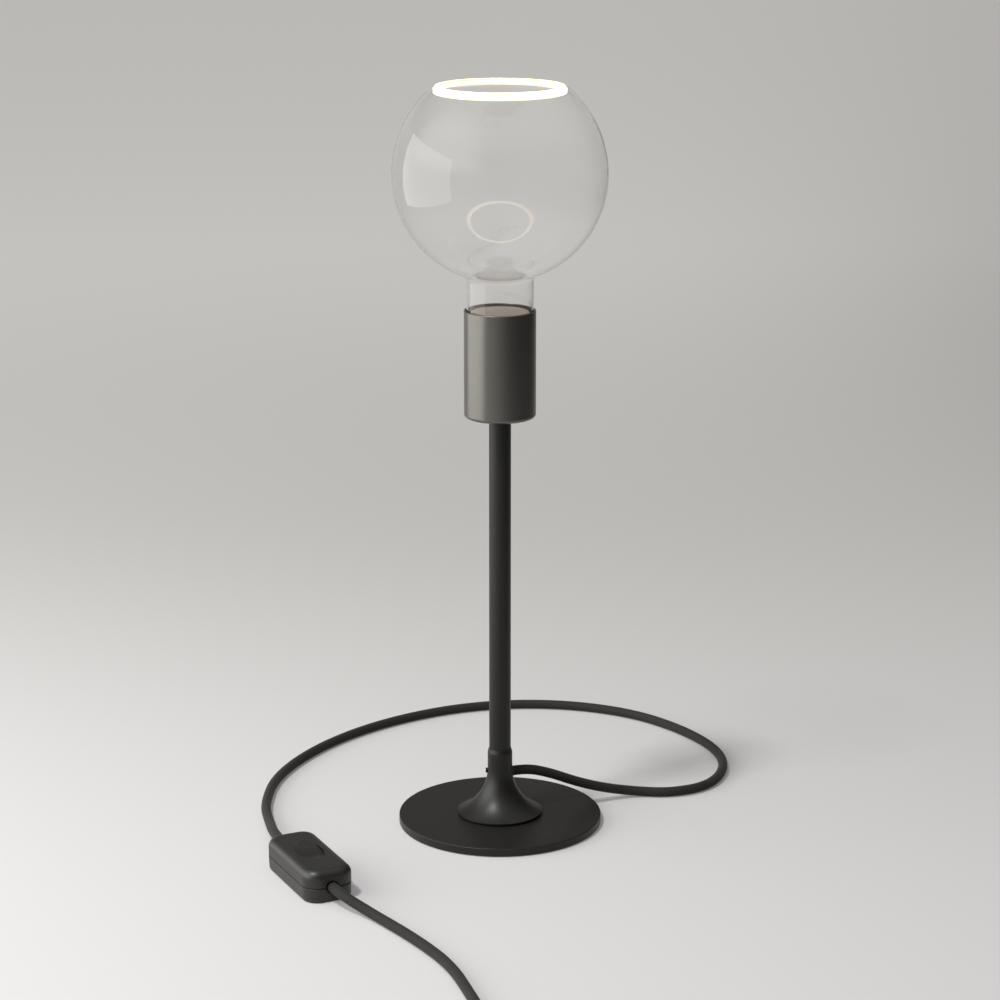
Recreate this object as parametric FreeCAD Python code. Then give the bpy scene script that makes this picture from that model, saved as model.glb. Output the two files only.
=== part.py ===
import FreeCAD, Part
import math
import os

from FreeCAD import Vector

# Bare bulb table lamp, millimetres, +Z up. The origin is on the lamp's own
# axis, on the surface that it stands on. -Y faces the viewer.

# ---- fits ----
SLIDE_GAP = 0.1          # radial room of a turned piece on its seat
THREAD_GAP = 0.1         # radial room left for a thread that is not cut
SOFT_GAP = 0.3           # room round a soft or a moving piece
FACE_GAP = 0.3           # air between a contact and what it presses on

# ---- foot: plate, pad and what clamps the stem ----
PLATE_D = 122.0
PLATE_T = 5.0
PLATE_EDGE = 0.5         # radius of the plate's top edge
PAD_D = 113.0
PAD_T = 1.2
PAD_PROUD = 0.3          # how far the pad stands below the plate
NIPPLE_D = 10.0          # M10 x 1 lamp thread
NIPPLE_BORE = 7.2
NIPPLE_GRIP = 10.0       # thread length inside each end of the stem
NUT_AF = 14.0
NUT_T = 1.9
WASHER_D = 16.0
WASHER_T = 0.5
NUT_POCKET_D = 18.4
NUT_POCKET_ROOM = 0.15   # air between the nut and the pad

# ---- stem ----
STEM_D = 13.0
STEM_BORE = 9.0
STEM_L = 246.0
THREAD_DEPTH = 12.0      # tapped length in each end of the stem

# ---- bell: the turned flare over the foot of the stem ----
BELL_FOOT_D = 51.0
BELL_LIP_T = 0.7         # upright lip of the foot
BELL_SHADOW = 1.0        # height of the shadow gap under the lip
BELL_FLARE_R = 29.0      # radius of the hollow flare
COLLAR_D = 14.9
COLLAR_TOP = 46.4        # above the floor
COLLAR_CHAMFER_H = 2.6
BELL_WALL = 2.6
BELL_BORE_L = 22.0       # length of the bore that holds the stem

# ---- cord and its exit through the collar ----
CORD_D = 6.0
EXIT_Z = 30.2
EXIT_AZIMUTH = 27.0      # degrees from +X towards the back
EXIT_RUN = 17.5          # the cord leaves level, up to this far from the axis
BUSH_WALL = 0.45
BUSH_PROUD = 0.5
INNER_BEND_R = 6.0       # bend of the cord where it turns up the stem
GRUB_D = 3.0
GRUB_PROUD = 1.2
GRUB_Z = 31.9
CORE_D = 2.0
CORE_STEP = 2.1          # between the axes of the two cores
CORE_BEND_R = 2.2

# ---- lampholder ----
CUP_D = 42.3
CUP_H = 64.0
CUP_WALL = 1.1
CUP_FLOOR_T = 1.6
CUP_EDGE_R = 2.0
HOLDER_D = 34.6
HOLDER_WALL = 1.6
HOLDER_FLOOR_T = 2.0
HOLDER_CAP_H = 13.5
HOLDER_BOSS_D = 15.0
HOLDER_BOSS_H = 6.9
BLOCK_FLANGE_T = 2.0
BLOCK_DROP = 3.0         # how far the contact block reaches into the cap
SHELL_H = 27.0
SHELL_BORE_ROOM = 0.45   # radial room for the bulb's cap
CONTACT_T = 0.5
TERMINAL_L = 6.0
TERMINAL_W = 6.0
TERMINAL_H = 4.8
TERMINAL_IN = 8.6        # where a terminal begins, from the axis

# ---- bulb ----
CAP_D = 26.0             # E27 cap
CAP_WALL = 0.4
CAP_L = 27.5             # from the tip contact to the top of the cap
TIP_D = 9.2
TIP_T = 1.3
INSULATOR_H = 5.0
NECK_D = 39.4
NECK_TAPER_H = 10.0
GLOBE_D = 125.4
GLOBE_UP_SWELL = 3.7     # the upper half has a larger radius, towards its flat top
GLASS_T = 0.7
NECK_FILLET_R = 3.5
GLOBE_Z = 124.5          # globe's centre above the tip contact
TOP_Z = 176.0            # flat top above the tip contact
TOP_CORNER_R = 1.4
RING_SIDE_GAP = 1.0      # between the ring and the glass beside it
RING_BAND = 3.3          # width of the ring, seen from above
RING_H = 3.8
RING_CORNER_R = 1.2
LEAD_T = 0.3
LEAD_W = 1.0
DOME_R = 38.0            # mirror dome over the driver
DOME_T = 0.8
DOME_EDGE_Z = 39.2       # dome's edge above the tip contact
HOUSING_WALL = 1.0
BOARD_T = 1.2
BOARD_W = 17.0

# ---- switch on the cord ----
SWITCH_L = 67.6
SWITCH_W = 29.6
SWITCH_H = 19.0
SWITCH_CORNER_R = 9.2
SWITCH_PARTING_Z = 8.8
SWITCH_TOP_R = 5.2
SWITCH_DRAFT = 0.6       # how far the lower shell draws in at its bottom
SWITCH_WALL = 2.0
SWITCH_AXIS_Z = 9.0      # height of the cord through the switch
SWITCH_X = -109.2
SWITCH_Y = -97.4
SWITCH_ANGLE = -64.2     # long axis, from the lamp's side to the plug's
PARTING_CHAMFER = 0.4
ROCKER_R = 14.0          # end radius of the rocker about its pivot
ROCKER_HALF_W = 8.2
ROCKER_CHEEK = 7.7       # flat bearing faces, either side of the long axis
ROCKER_PIVOT_Z = 13.0
ROCKER_TOP = 7.4         # height over the pivot
ROCKER_BOTTOM = -1.5
ROCKER_DISH_R = 30.0
ROCKER_DISH_DEPTH = 2.8
ROCKER_TILT = 7.0        # either side of level
TRUNNION_D = 3.0
TRUNNION_L = 2.0
TRUNNION_GAP = 0.15
LEG_DROP = 4.6           # the rocker's leg, below the pivot
BRIDGE_L = 17.0
BRIDGE_T = 0.8
BUTTON_X = 7.0
BUTTON_R = 1.4
BUTTON_H = 0.5
TERMINAL_X = 15.2        # screw of each terminal, from the switch's middle
TERMINAL_Y = -4.6
COVER_SCREW_X = 21.0
COVER_SCREW_Y = 8.8
COVER_BOSS_D = 5.6
COVER_SCREW_SEAT = 1.4
MOUTH_ROOM = 0.6
MOUTH_DEPTH = 1.3
ROCKER_EDGE_R = 0.5
JACKET_END = 24.0        # where the jacket ends, from the switch's middle
CLAMP_X = 26.8
SWITCH_RUN_IN = 20.0     # straight run of the cord before the switch
SWITCH_RUN_OUT = 10.0    # and after it

# ---- plug ----
PLUG_W = 35.3
PLUG_T = 13.7
PLUG_L = 36.0
PLUG_NECK_W = 13.0
PLUG_EDGE_R = 2.6
PIN_D = 4.0
PIN_L = 19.0
PIN_SLEEVE_L = 10.0
PIN_SLEEVE_D = 3.8
PIN_CORE_D = 3.0
PIN_SPACING = 18.6
RELIEF_L = 26.0
RELIEF_BORE_L = 16.0
RELIEF_THICK_D = 11.0
RELIEF_THIN_D = 8.2
PLUG_X = 78.0            # narrow end of the strain relief
PLUG_Y = -371.6
PLUG_ANGLE = 5.0
PLUG_RUN_IN = 4.0        # straight run of the cord before the relief

# ---- coil of spare cord ----
COIL_X = 36.0
COIL_Y = -333.0
COIL_TURNS = 3.25
COIL_OUT_R = 39.4        # radius of the outer turn's axis
COIL_PITCH = 6.6
COIL_LAYER = 6.5
COIL_RUN_IN = 26.0       # straight run of the cord before the coil
COIL_RUN_OUT = 16.0      # and after it
TIE_T = 0.6
TIE_W = 7.0

# Route of the cord on the floor, points chosen by hand, in millimetres.
LAMP_SIDE_ROUTE = [
    (29.5, 15.4, 24.9), (47.5, 24.2, 15.4), (65.0, 33.0, 8.2), (83.5, 41.4, 3.0),
    (106.0, 38.5, 3.0), (130.5, 51.0, 3.0), (143.0, 82.0, 3.0), (140.5, 117.5, 3.0),
    (120.0, 156.5, 3.0), (86.5, 191.0, 3.0), (36.0, 209.5, 3.0), (-19.5, 204.5, 3.0),
    (-72.0, 174.5, 3.0), (-114.0, 128.0, 3.0), (-140.5, 71.0, 3.0), (-144.5, 18.5, 3.0),
    (-138.5, -15.0, 3.6),
]
PLUG_SIDE_ROUTE = [
    (-72.5, -149.5, 3.0), (-45.5, -187.0, 3.0), (-26.0, -221.0, 3.0), (-14.8, -260.0, 3.0),
]

# ---- worked out from the above ----
PLATE_BOTTOM = PAD_PROUD
PLATE_TOP = PLATE_BOTTOM + PLATE_T
PAD_CEILING = PAD_T
STEM_TOP = PLATE_TOP + STEM_L
CUP_BOTTOM = STEM_TOP
CUP_FLOOR = CUP_BOTTOM + CUP_FLOOR_T
CUP_TOP = CUP_BOTTOM + CUP_H
HOLDER_CAP_TOP = CUP_FLOOR + HOLDER_CAP_H
SHELL_BOTTOM = HOLDER_CAP_TOP + BLOCK_FLANGE_T
TONGUE_TOP = SHELL_BOTTOM + 3 * CONTACT_T
TIP_Z = TONGUE_TOP + FACE_GAP
BLOCK_BOTTOM = HOLDER_CAP_TOP - BLOCK_DROP
BOSS_TOP = CUP_FLOOR + HOLDER_BOSS_H
CORE_Z = BOSS_TOP + 1.5
COIL_LOW_Z = CORD_D / 2 + TIE_T + SOFT_GAP
COIL_HIGH_Z = COIL_LOW_Z + COIL_LAYER

UP = Vector(0, 0, 1)
AXIS = Vector(0, 0, 0)


# ------------------------------------------------------------- basic forms
def wire_of(points):
    """Closed wire through (r, z) points; an item of two points is an arc: its middle and its end."""
    edges = []
    here = Vector(points[0][0], 0, points[0][1])
    for item in points[1:] + [points[0]]:
        if isinstance(item[0], tuple):
            middle = Vector(item[0][0], 0, item[0][1])
            end = Vector(item[1][0], 0, item[1][1])
            edges.append(Part.Arc(here, middle, end).toShape())
        else:
            end = Vector(item[0], 0, item[1])
            if end.distanceToPoint(here) < 1e-9:
                continue
            edges.append(Part.LineSegment(here, end).toShape())
        here = end
    return Part.Wire(edges)


def turned(points):
    """Solid of revolution about +Z of a closed profile in (r, z)."""
    return Part.Face(wire_of(points)).revolve(AXIS, UP, 360)


def rod(radius, z0, z1, x=0.0, y=0.0):
    return Part.makeCylinder(radius, z1 - z0, Vector(x, y, z0), UP)


def tube(outer, inner, z0, z1):
    return rod(outer, z0, z1).cut(rod(inner, z0 - 1, z1 + 1))


def block(x0, x1, y0, y1, z0, z1):
    return Part.makeBox(x1 - x0, y1 - y0, z1 - z0, Vector(x0, y0, z0))


def corner_middle(centre, radius, angle):
    """Point of a profile's corner arc at an angle in degrees from +r towards +z."""
    turn = math.radians(angle)
    return (centre[0] + radius * math.cos(turn), centre[1] + radius * math.sin(turn))


def arc_between(start, corner, end):
    """Arc from start to end that is tangent to the lines to their common corner."""
    chord_middle = (start + end) * 0.5
    half_turn = (corner - start).getAngle(end - corner) / 2
    radius = start.distanceToPoint(corner) / math.tan(half_turn)
    inward = (chord_middle - corner).normalize()
    return Part.Arc(start, corner + inward * (radius / math.cos(half_turn) - radius), end).toShape()


def routed_tube(points, diameter, name, share=0.45):
    """Tube of straight runs joined by tangent arcs as large as the runs allow; prints its radii."""
    edges, radii, here = [], [], points[0]
    for before, corner, after in zip(points, points[1:], points[2:]):
        reach = share * min(before.distanceToPoint(corner), corner.distanceToPoint(after))
        start = corner + (before - corner).normalize() * reach
        end = corner + (after - corner).normalize() * reach
        radii.append(reach / math.tan((corner - before).getAngle(after - corner) / 2))
        edges.append(Part.LineSegment(here, start).toShape())
        edges.append(arc_between(start, corner, end))
        here = end
    edges.append(Part.LineSegment(here, points[-1]).toShape())
    return swept(edges, points[0], points[1] - points[0], diameter, name, radii)


def swept(edges, start, direction, diameter, name, radii):
    """Round tube along tangent edges, checked against its section times its length."""
    path = Part.Wire(edges)
    circle = Part.Wire([Part.Circle(start, direction, diameter / 2).toShape()])
    solid = path.makePipeShell([circle], True, False)
    wanted = path.Length * math.pi * diameter ** 2 / 4
    listed = " ".join("%.0f" % value for value in radii) if diameter == CORD_D else "-"
    print("%s: length %.1f mm, volume %.4f of section x length, radii %s"
          % (name, path.Length, solid.Volume / wanted, listed))
    return solid


# ------------------------------------------------------------- foot
def base_plate():
    """Steel disc with an eased top edge, a shallow bed for the pad and a pocket for the nut."""
    rim = PLATE_D / 2
    pocket_ceiling = PAD_CEILING + NUT_POCKET_ROOM + NUT_T + WASHER_T
    edge_centre = (rim - PLATE_EDGE, PLATE_TOP - PLATE_EDGE)
    disc = turned([
        (0, PLATE_BOTTOM), (rim - PLATE_EDGE, PLATE_BOTTOM), (rim, PLATE_BOTTOM + PLATE_EDGE),
        (rim, PLATE_TOP - PLATE_EDGE),
        (corner_middle(edge_centre, PLATE_EDGE, 45), (rim - PLATE_EDGE, PLATE_TOP)),
        (0, PLATE_TOP),
    ])
    disc = disc.cut(rod(PAD_D / 2 + SLIDE_GAP, PLATE_BOTTOM - 1, PAD_CEILING))
    disc = disc.cut(rod(NUT_POCKET_D / 2, PLATE_BOTTOM - 1, pocket_ceiling))
    return disc.cut(rod(NIPPLE_D / 2 + THREAD_GAP, 0, PLATE_TOP + 1))


def base_pad():
    """Felt disc glued into its bed; it covers the nut."""
    return rod(PAD_D / 2, 0, PAD_T)


def hex_nut(z0, z1, bore_d):
    flats = [Vector(NUT_AF / math.sqrt(3) * math.cos(math.radians(60 * k)),
                    NUT_AF / math.sqrt(3) * math.sin(math.radians(60 * k)), z0) for k in range(7)]
    nut = Part.Face(Part.makePolygon(flats)).extrude(Vector(0, 0, z1 - z0))
    return nut.cut(rod(bore_d / 2 + THREAD_GAP, z0 - 1, z1 + 1))


def nipple_nut():
    z0 = PAD_CEILING + NUT_POCKET_ROOM
    return hex_nut(z0, z0 + NUT_T, NIPPLE_D)


def nipple_washer():
    z0 = PAD_CEILING + NUT_POCKET_ROOM + NUT_T
    return tube(WASHER_D / 2, NIPPLE_D / 2 + SLIDE_GAP, z0, z0 + WASHER_T)


def lower_nipple():
    return tube(NIPPLE_D / 2, NIPPLE_BORE / 2, PAD_CEILING + NUT_POCKET_ROOM, PLATE_TOP + NIPPLE_GRIP)


def exit_direction():
    turn = math.radians(EXIT_AZIMUTH)
    return Vector(math.cos(turn), math.sin(turn), 0)


def exit_hole(radius, reach):
    return Part.makeCylinder(radius, reach, Vector(0, 0, EXIT_Z), exit_direction())


def grub_hole():
    return Part.makeCylinder(GRUB_D / 2 + SLIDE_GAP, COLLAR_D, Vector(0, 0, GRUB_Z), Vector(-1, 0, 0))


def stem_tube():
    """Drawn steel tube, tapped at both ends, with a window where the cord turns in."""
    stem = tube(STEM_D / 2, STEM_BORE / 2, PLATE_TOP, STEM_TOP)
    tapped = NIPPLE_D / 2 + THREAD_GAP
    stem = stem.cut(rod(tapped, PLATE_TOP - 1, PLATE_TOP + THREAD_DEPTH))
    stem = stem.cut(rod(tapped, STEM_TOP - THREAD_DEPTH, STEM_TOP + 1))
    hole_r = CORD_D / 2 + SLIDE_GAP + BUSH_WALL + SLIDE_GAP
    window = exit_hole(hole_r, STEM_D)
    raised = exit_hole(CORD_D / 2 + SLIDE_GAP, STEM_BORE / 2 + 1)
    for step in range(1, 4):
        lifted = raised.copy()
        lifted.translate(Vector(0, 0, 0.6 * step))
        window = window.fuse(lifted)
    return stem.cut(window).cut(grub_hole())


def base_bell():
    """Turned flare: a foot with a shadow gap, a hollow curve up to a plain collar, chamfered on top."""
    foot = BELL_FOOT_D / 2
    collar = COLLAR_D / 2
    bore = STEM_D / 2 + SLIDE_GAP
    lip_bottom = PLATE_TOP + BELL_SHADOW
    lip_top = lip_bottom + BELL_LIP_T
    spread = collar + BELL_FLARE_R - foot
    flare_centre = (collar + BELL_FLARE_R, lip_top + math.sqrt(BELL_FLARE_R ** 2 - spread ** 2))
    low_angle = math.degrees(math.atan2(lip_top - flare_centre[1], -spread))
    middle_angle = (low_angle % 360 + 180) / 2
    inner_r = BELL_FLARE_R + BELL_WALL
    inner_foot = foot - BELL_SHADOW - BELL_WALL
    bore_bottom = COLLAR_TOP - BELL_BORE_L
    hollow_angle = math.degrees(math.atan2(PLATE_TOP - flare_centre[1], inner_foot - flare_centre[0]))
    hollow_r = math.hypot(PLATE_TOP - flare_centre[1], inner_foot - flare_centre[0])
    bore_angle = 180 + math.degrees(math.asin((flare_centre[1] - bore_bottom) / hollow_r))
    top_of_hollow = corner_middle(flare_centre, hollow_r, bore_angle)
    hollow_middle = corner_middle(flare_centre, hollow_r, (bore_angle + hollow_angle % 360) / 2)
    bell = turned([
        (inner_foot, PLATE_TOP), (foot - BELL_SHADOW, PLATE_TOP), (foot, lip_bottom), (foot, lip_top),
        (corner_middle(flare_centre, BELL_FLARE_R, middle_angle), (collar, flare_centre[1])),
        (collar, COLLAR_TOP - COLLAR_CHAMFER_H), (STEM_D / 2 + 0.25, COLLAR_TOP), (bore, COLLAR_TOP),
        (bore, top_of_hollow[1]), (max(top_of_hollow[0], bore), top_of_hollow[1]),
        (hollow_middle, (inner_foot, PLATE_TOP)),
    ])
    print("bell: flare's hollow radius %.1f, wall at the foot %.1f" % (hollow_r, hollow_r - BELL_FLARE_R))
    bush_hole = CORD_D / 2 + SLIDE_GAP + BUSH_WALL + SLIDE_GAP
    return bell.cut(exit_hole(bush_hole, COLLAR_D)).cut(grub_hole())


def cord_bush():
    """Plastic sleeve that lines the exit, with a thin rounded lip outside."""
    inner = CORD_D / 2 + SLIDE_GAP
    outer = inner + BUSH_WALL
    near = STEM_D / 2 - 1.0
    far = COLLAR_D / 2 + BUSH_PROUD
    sleeve = turned([
        (inner, near), (outer, near), (outer, far - 0.25),
        (corner_middle((outer - 0.2, far - 0.25), 0.2, 45), (outer - 0.2, far - 0.05)),
        (outer - 0.25, far), (inner, far),
    ])
    sleeve.rotate(AXIS, Vector(0, 1, 0), 90)
    sleeve.rotate(AXIS, UP, EXIT_AZIMUTH)
    sleeve.translate(Vector(0, 0, EXIT_Z))
    return sleeve


def grub_screw():
    """Clamping screw through collar and stem; it presses on the cord where that turns up."""
    tip = INNER_BEND_R + CORD_D / 2 - math.sqrt((INNER_BEND_R + CORD_D / 2) ** 2
                                                - (EXIT_Z + INNER_BEND_R - GRUB_Z) ** 2)
    tip_x = INNER_BEND_R - (INNER_BEND_R + CORD_D / 2) + tip - SOFT_GAP - 1.0
    length = COLLAR_D / 2 + GRUB_PROUD + tip_x
    screw = Part.makeCylinder(GRUB_D / 2, length, Vector(tip_x, 0, GRUB_Z), Vector(-1, 0, 0))
    slot = block(-COLLAR_D / 2 - GRUB_PROUD - 1, -COLLAR_D / 2 - GRUB_PROUD + 0.7, -0.25, 0.25,
                 GRUB_Z - GRUB_D, GRUB_Z + GRUB_D)
    return screw.cut(slot)


# ------------------------------------------------------------- cord inside the lamp
CORD_START = STEM_D / 2                      # along the exit, inside the bush
JACKET_TOP = BOSS_TOP - 1.4


def stem_cord():
    """The jacketed cord from the bush, round its bend and up through the stem and nipple."""
    along = exit_direction()
    start = along * CORD_START + UP * EXIT_Z
    corner = UP * EXIT_Z
    bend_in = along * INNER_BEND_R + UP * EXIT_Z
    bend_out = UP * (EXIT_Z + INNER_BEND_R)
    edges = [
        Part.LineSegment(start, bend_in).toShape(),
        arc_between(bend_in, corner, bend_out),
        Part.LineSegment(bend_out, UP * JACKET_TOP).toShape(),
    ]
    return swept(edges, start, bend_in - start, CORD_D, "stem_cord", [INNER_BEND_R])


def cord_cores():
    """Two insulated cores that part over the boss and run into the terminals."""
    cores = []
    for side in (-1, 1):
        x = side * CORE_STEP / 2
        start = Vector(x, 0, JACKET_TOP)
        bend_in = Vector(x, 0, CORE_Z - CORE_BEND_R)
        corner = Vector(x, 0, CORE_Z)
        bend_out = Vector(x + side * CORE_BEND_R, 0, CORE_Z)
        end = Vector(side * (TERMINAL_IN + TERMINAL_L - 2.0), 0, CORE_Z)
        edges = [
            Part.LineSegment(start, bend_in).toShape(),
            arc_between(bend_in, corner, bend_out),
            Part.LineSegment(bend_out, end).toShape(),
        ]
        cores.append(swept(edges, start, UP, CORE_D, "core", []))
    return Part.makeCompound(cores)


# ------------------------------------------------------------- lampholder
def upper_nipple():
    return tube(NIPPLE_D / 2, NIPPLE_BORE / 2, STEM_TOP - NIPPLE_GRIP, BOSS_TOP - 0.2)


def lampholder_cup():
    """Deep-drawn metal cup with a rolled lower edge and an eased rim."""
    outer = CUP_D / 2
    inner = outer - CUP_WALL
    bend = CUP_EDGE_R
    inner_bend = CUP_EDGE_R - CUP_WALL + 0.5
    hole = NIPPLE_D / 2 + SLIDE_GAP
    return turned([
        (hole, CUP_BOTTOM), (outer - bend, CUP_BOTTOM),
        (corner_middle((outer - bend, CUP_BOTTOM + bend), bend, -45), (outer, CUP_BOTTOM + bend)),
        (outer, CUP_TOP - 0.3), (outer - 0.3, CUP_TOP), (inner + 0.3, CUP_TOP), (inner, CUP_TOP - 0.3),
        (inner, CUP_FLOOR + inner_bend),
        (corner_middle((inner - inner_bend, CUP_FLOOR + inner_bend), inner_bend, -45),
         (inner - inner_bend, CUP_FLOOR)),
        (hole, CUP_FLOOR),
    ])


def holder_cap():
    """Insulating cap of the lampholder, screwed on the nipple; its cavity holds the terminals."""
    outer = HOLDER_D / 2
    inner = outer - HOLDER_WALL
    floor = CUP_FLOOR + HOLDER_FLOOR_T
    bore = NIPPLE_D / 2 + THREAD_GAP
    boss = HOLDER_BOSS_D / 2
    return turned([
        (bore, CUP_FLOOR), (outer - 2.5, CUP_FLOOR), (outer, CUP_FLOOR + 2.5), (outer, HOLDER_CAP_TOP),
        (inner, HOLDER_CAP_TOP), (inner, floor + 1.0), (inner - 1.0, floor), (boss, floor),
        (boss, BOSS_TOP), (bore, BOSS_TOP),
    ])


def holder_block():
    """Ceramic contact block; its flange is held between the cap and the threaded shell."""
    flange = turned([
        (0, BLOCK_BOTTOM), (HOLDER_D / 2 - HOLDER_WALL - SLIDE_GAP, BLOCK_BOTTOM),
        (HOLDER_D / 2 - HOLDER_WALL - SLIDE_GAP, HOLDER_CAP_TOP), (HOLDER_D / 2, HOLDER_CAP_TOP),
        (HOLDER_D / 2, SHELL_BOTTOM), (0, SHELL_BOTTOM),
    ])
    side_slot = block(shell_contact_r() - 0.1, shell_contact_r() + CONTACT_T + 0.1, -3.1, 3.1,
                      BLOCK_BOTTOM - 1, SHELL_BOTTOM + 1)
    return flange.cut(side_slot)


def shell_contact_r():
    return CAP_D / 2 + FACE_GAP


def holder_shell():
    """Insulating shell with the bore for the bulb's cap, a rolled rim and a slot for the side contact."""
    outer = HOLDER_D / 2
    bore = CAP_D / 2 + SHELL_BORE_ROOM
    top = SHELL_BOTTOM + SHELL_H
    shell = turned([
        (bore, SHELL_BOTTOM), (outer, SHELL_BOTTOM), (outer, top - 3.0), (outer - 0.8, top - 2.2),
        (outer - 0.8, top - 0.6), (outer - 1.4, top), (bore + 0.6, top), (bore, top - 0.6),
    ])
    slot = block(bore - 1.0, shell_contact_r() + CONTACT_T + 0.7, -3.1, 3.1, SHELL_BOTTOM - 1,
                 SHELL_BOTTOM + 15.0)
    return shell.cut(slot)


def centre_contact():
    """Sprung brass tongue under the bulb's tip."""
    z0 = SHELL_BOTTOM
    t = CONTACT_T
    profile = wire_of([
        (-6.5, z0), (-2.0, z0), (-2.0, z0 + t), (-3.0, z0 + t), (-1.2, z0 + 2 * t), (4.0, z0 + 2 * t),
        (4.0, z0 + 3 * t), (-1.6, z0 + 3 * t), (-5.2, z0 + t), (-6.5, z0 + t),
    ])
    strip = Part.Face(profile).extrude(Vector(0, 4.0, 0))
    strip.translate(Vector(0, -2.0, 0))
    return strip


def side_contact():
    """Brass blade at the side of the bulb's cap, down through the block to its terminal."""
    inner = shell_contact_r()
    return block(inner, inner + CONTACT_T, -3.0, 3.0, BLOCK_BOTTOM, SHELL_BOTTOM + 13.0)


def holder_terminals():
    """Two brass terminals under the block, each with a hole for its core."""
    terminals = []
    for side in (-1, 1):
        near, far = side * TERMINAL_IN, side * (TERMINAL_IN + TERMINAL_L)
        body = block(min(near, far), max(near, far), -TERMINAL_W / 2, TERMINAL_W / 2,
                     BLOCK_BOTTOM - TERMINAL_H, BLOCK_BOTTOM)
        core_hole = Part.makeCylinder(CORE_D / 2 + SLIDE_GAP, TERMINAL_L - 1.0,
                                      Vector(near - side * 0.5, 0, CORE_Z), Vector(side, 0, 0))
        screw_hole = rod(1.3 + SLIDE_GAP, BLOCK_BOTTOM - TERMINAL_H - 1, CORE_Z,
                         side * (TERMINAL_IN + 2.4))
        terminals.append(body.cut(core_hole).cut(screw_hole))
    return Part.makeCompound(terminals)


def holder_screws():
    """The two terminal screws, from below, with slotted heads."""
    screws = []
    head_top = BLOCK_BOTTOM - TERMINAL_H - 0.3
    for side in (-1, 1):
        x = side * (TERMINAL_IN + 2.4)
        shank = rod(1.3, head_top, CORE_Z - CORE_D / 2 - SLIDE_GAP, x)
        head = rod(2.1, head_top - 1.4, head_top, x)
        slot = block(x - 3, x + 3, -0.3, 0.3, head_top - 2.0, head_top - 0.9)
        screws.append(shank.fuse(head).cut(slot))
    return Part.makeCompound(screws)


# ------------------------------------------------------------- bulb
def bulb_tip_contact():
    """Soldered centre contact with its pin through the insulator."""
    tip_r = TIP_D / 2
    return turned([
        (0, TIP_Z), (tip_r - 1.6, TIP_Z), (tip_r, TIP_Z + TIP_T), (1.0, TIP_Z + TIP_T),
        (1.0, TIP_Z + TIP_T + INSULATOR_H), (0, TIP_Z + TIP_T + INSULATOR_H),
    ])


def bulb_cap_insulator():
    """Black vitrite cone between the tip contact and the cap."""
    z0 = TIP_Z + TIP_T
    wide = CAP_D / 2 - 2.0
    return turned([
        (1.0 + SLIDE_GAP, z0), (TIP_D / 2 + 0.5, z0), (wide, z0 + 3.8), (wide, z0 + INSULATOR_H),
        (1.0 + SLIDE_GAP, z0 + INSULATOR_H),
    ])


def bulb_cap_shell():
    """Nickel-plated cap, drawn in over the insulator and flared at its top."""
    outer = CAP_D / 2
    wall = CAP_WALL
    low = TIP_Z + TIP_T + 3.8
    seat = CAP_D / 2 - 2.0 + SLIDE_GAP
    top = TIP_Z + CAP_L
    return turned([
        (seat, low), (seat + wall, low), (outer, low + 2.0), (outer, top - 1.2), (outer + 0.35, top),
        (outer + 0.35 - wall, top), (outer - wall, top - 1.2), (outer - wall, low + 2.2),
        (seat, low + wall),
    ])


def neck_in_cap_r():
    return CAP_D / 2 - CAP_WALL - SLIDE_GAP


def bulb_glass():
    """Blown clear glass: neck in the cap, straight neck in the cup, globe with a flat top."""
    centre = TIP_Z + GLOBE_Z
    top = TIP_Z + TOP_Z
    cap_top = TIP_Z + CAP_L
    low = cap_top - 5.0
    taper_top = cap_top + NECK_TAPER_H
    outer = globe_side(centre, top, low, cap_top, taper_top, 0.0)
    inner = globe_side(centre, top, low, cap_top, taper_top, GLASS_T)
    whole = turned([(0, low)] + outer + [(0, top)])
    room = turned([(0, low - 1.0), (inner[0][0], low - 1.0)] + inner[1:] + [(0, top - GLASS_T)])
    return whole.cut(room)


def globe_side(centre, top, low, cap_top, taper_top, depth):
    """One side of the glass's profile, from the neck's end to the flat top, at a depth in the wall."""
    neck_low = neck_in_cap_r() - depth
    neck = NECK_D / 2 - depth
    globe = GLOBE_D / 2 - depth
    fillet = NECK_FILLET_R + depth
    fillet_r = NECK_D / 2 + NECK_FILLET_R
    fillet_z = centre - math.sqrt((GLOBE_D / 2 + NECK_FILLET_R) ** 2 - fillet_r ** 2)
    reach = globe / (GLOBE_D / 2 + NECK_FILLET_R)
    join = (fillet_r * reach, centre + (fillet_z - centre) * reach)
    join_angle = math.degrees(math.atan2(join[1] - centre, join[0]))
    fillet_end = math.degrees(math.atan2(join[1] - fillet_z, join[0] - fillet_r)) % 360
    fillet_middle = corner_middle((fillet_r, fillet_z), fillet, (180 + fillet_end) / 2)
    up_centre = -GLOBE_UP_SWELL
    up_r = GLOBE_D / 2 + GLOBE_UP_SWELL - depth
    corner = max(TOP_CORNER_R - depth, 0.3)
    corner_z = top - depth - corner
    corner_r = up_centre + math.sqrt((up_r - corner) ** 2 - (corner_z - centre) ** 2)
    end_angle = math.degrees(math.atan2(corner_z - centre, corner_r - up_centre))
    edge = corner_middle((up_centre, centre), up_r, end_angle)
    return [
        (neck_low, low), (neck_low, cap_top + depth * 0.4), (neck, taper_top + depth * 0.4),
        (neck, fillet_z),
        (fillet_middle, join),
        (corner_middle((0, centre), globe, join_angle / 2), (globe, centre)),
        (corner_middle((up_centre, centre), up_r, end_angle / 2), edge),
        (corner_middle((corner_r, corner_z), corner, (end_angle + 90) / 2), (corner_r, top - depth)),
    ]


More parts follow.
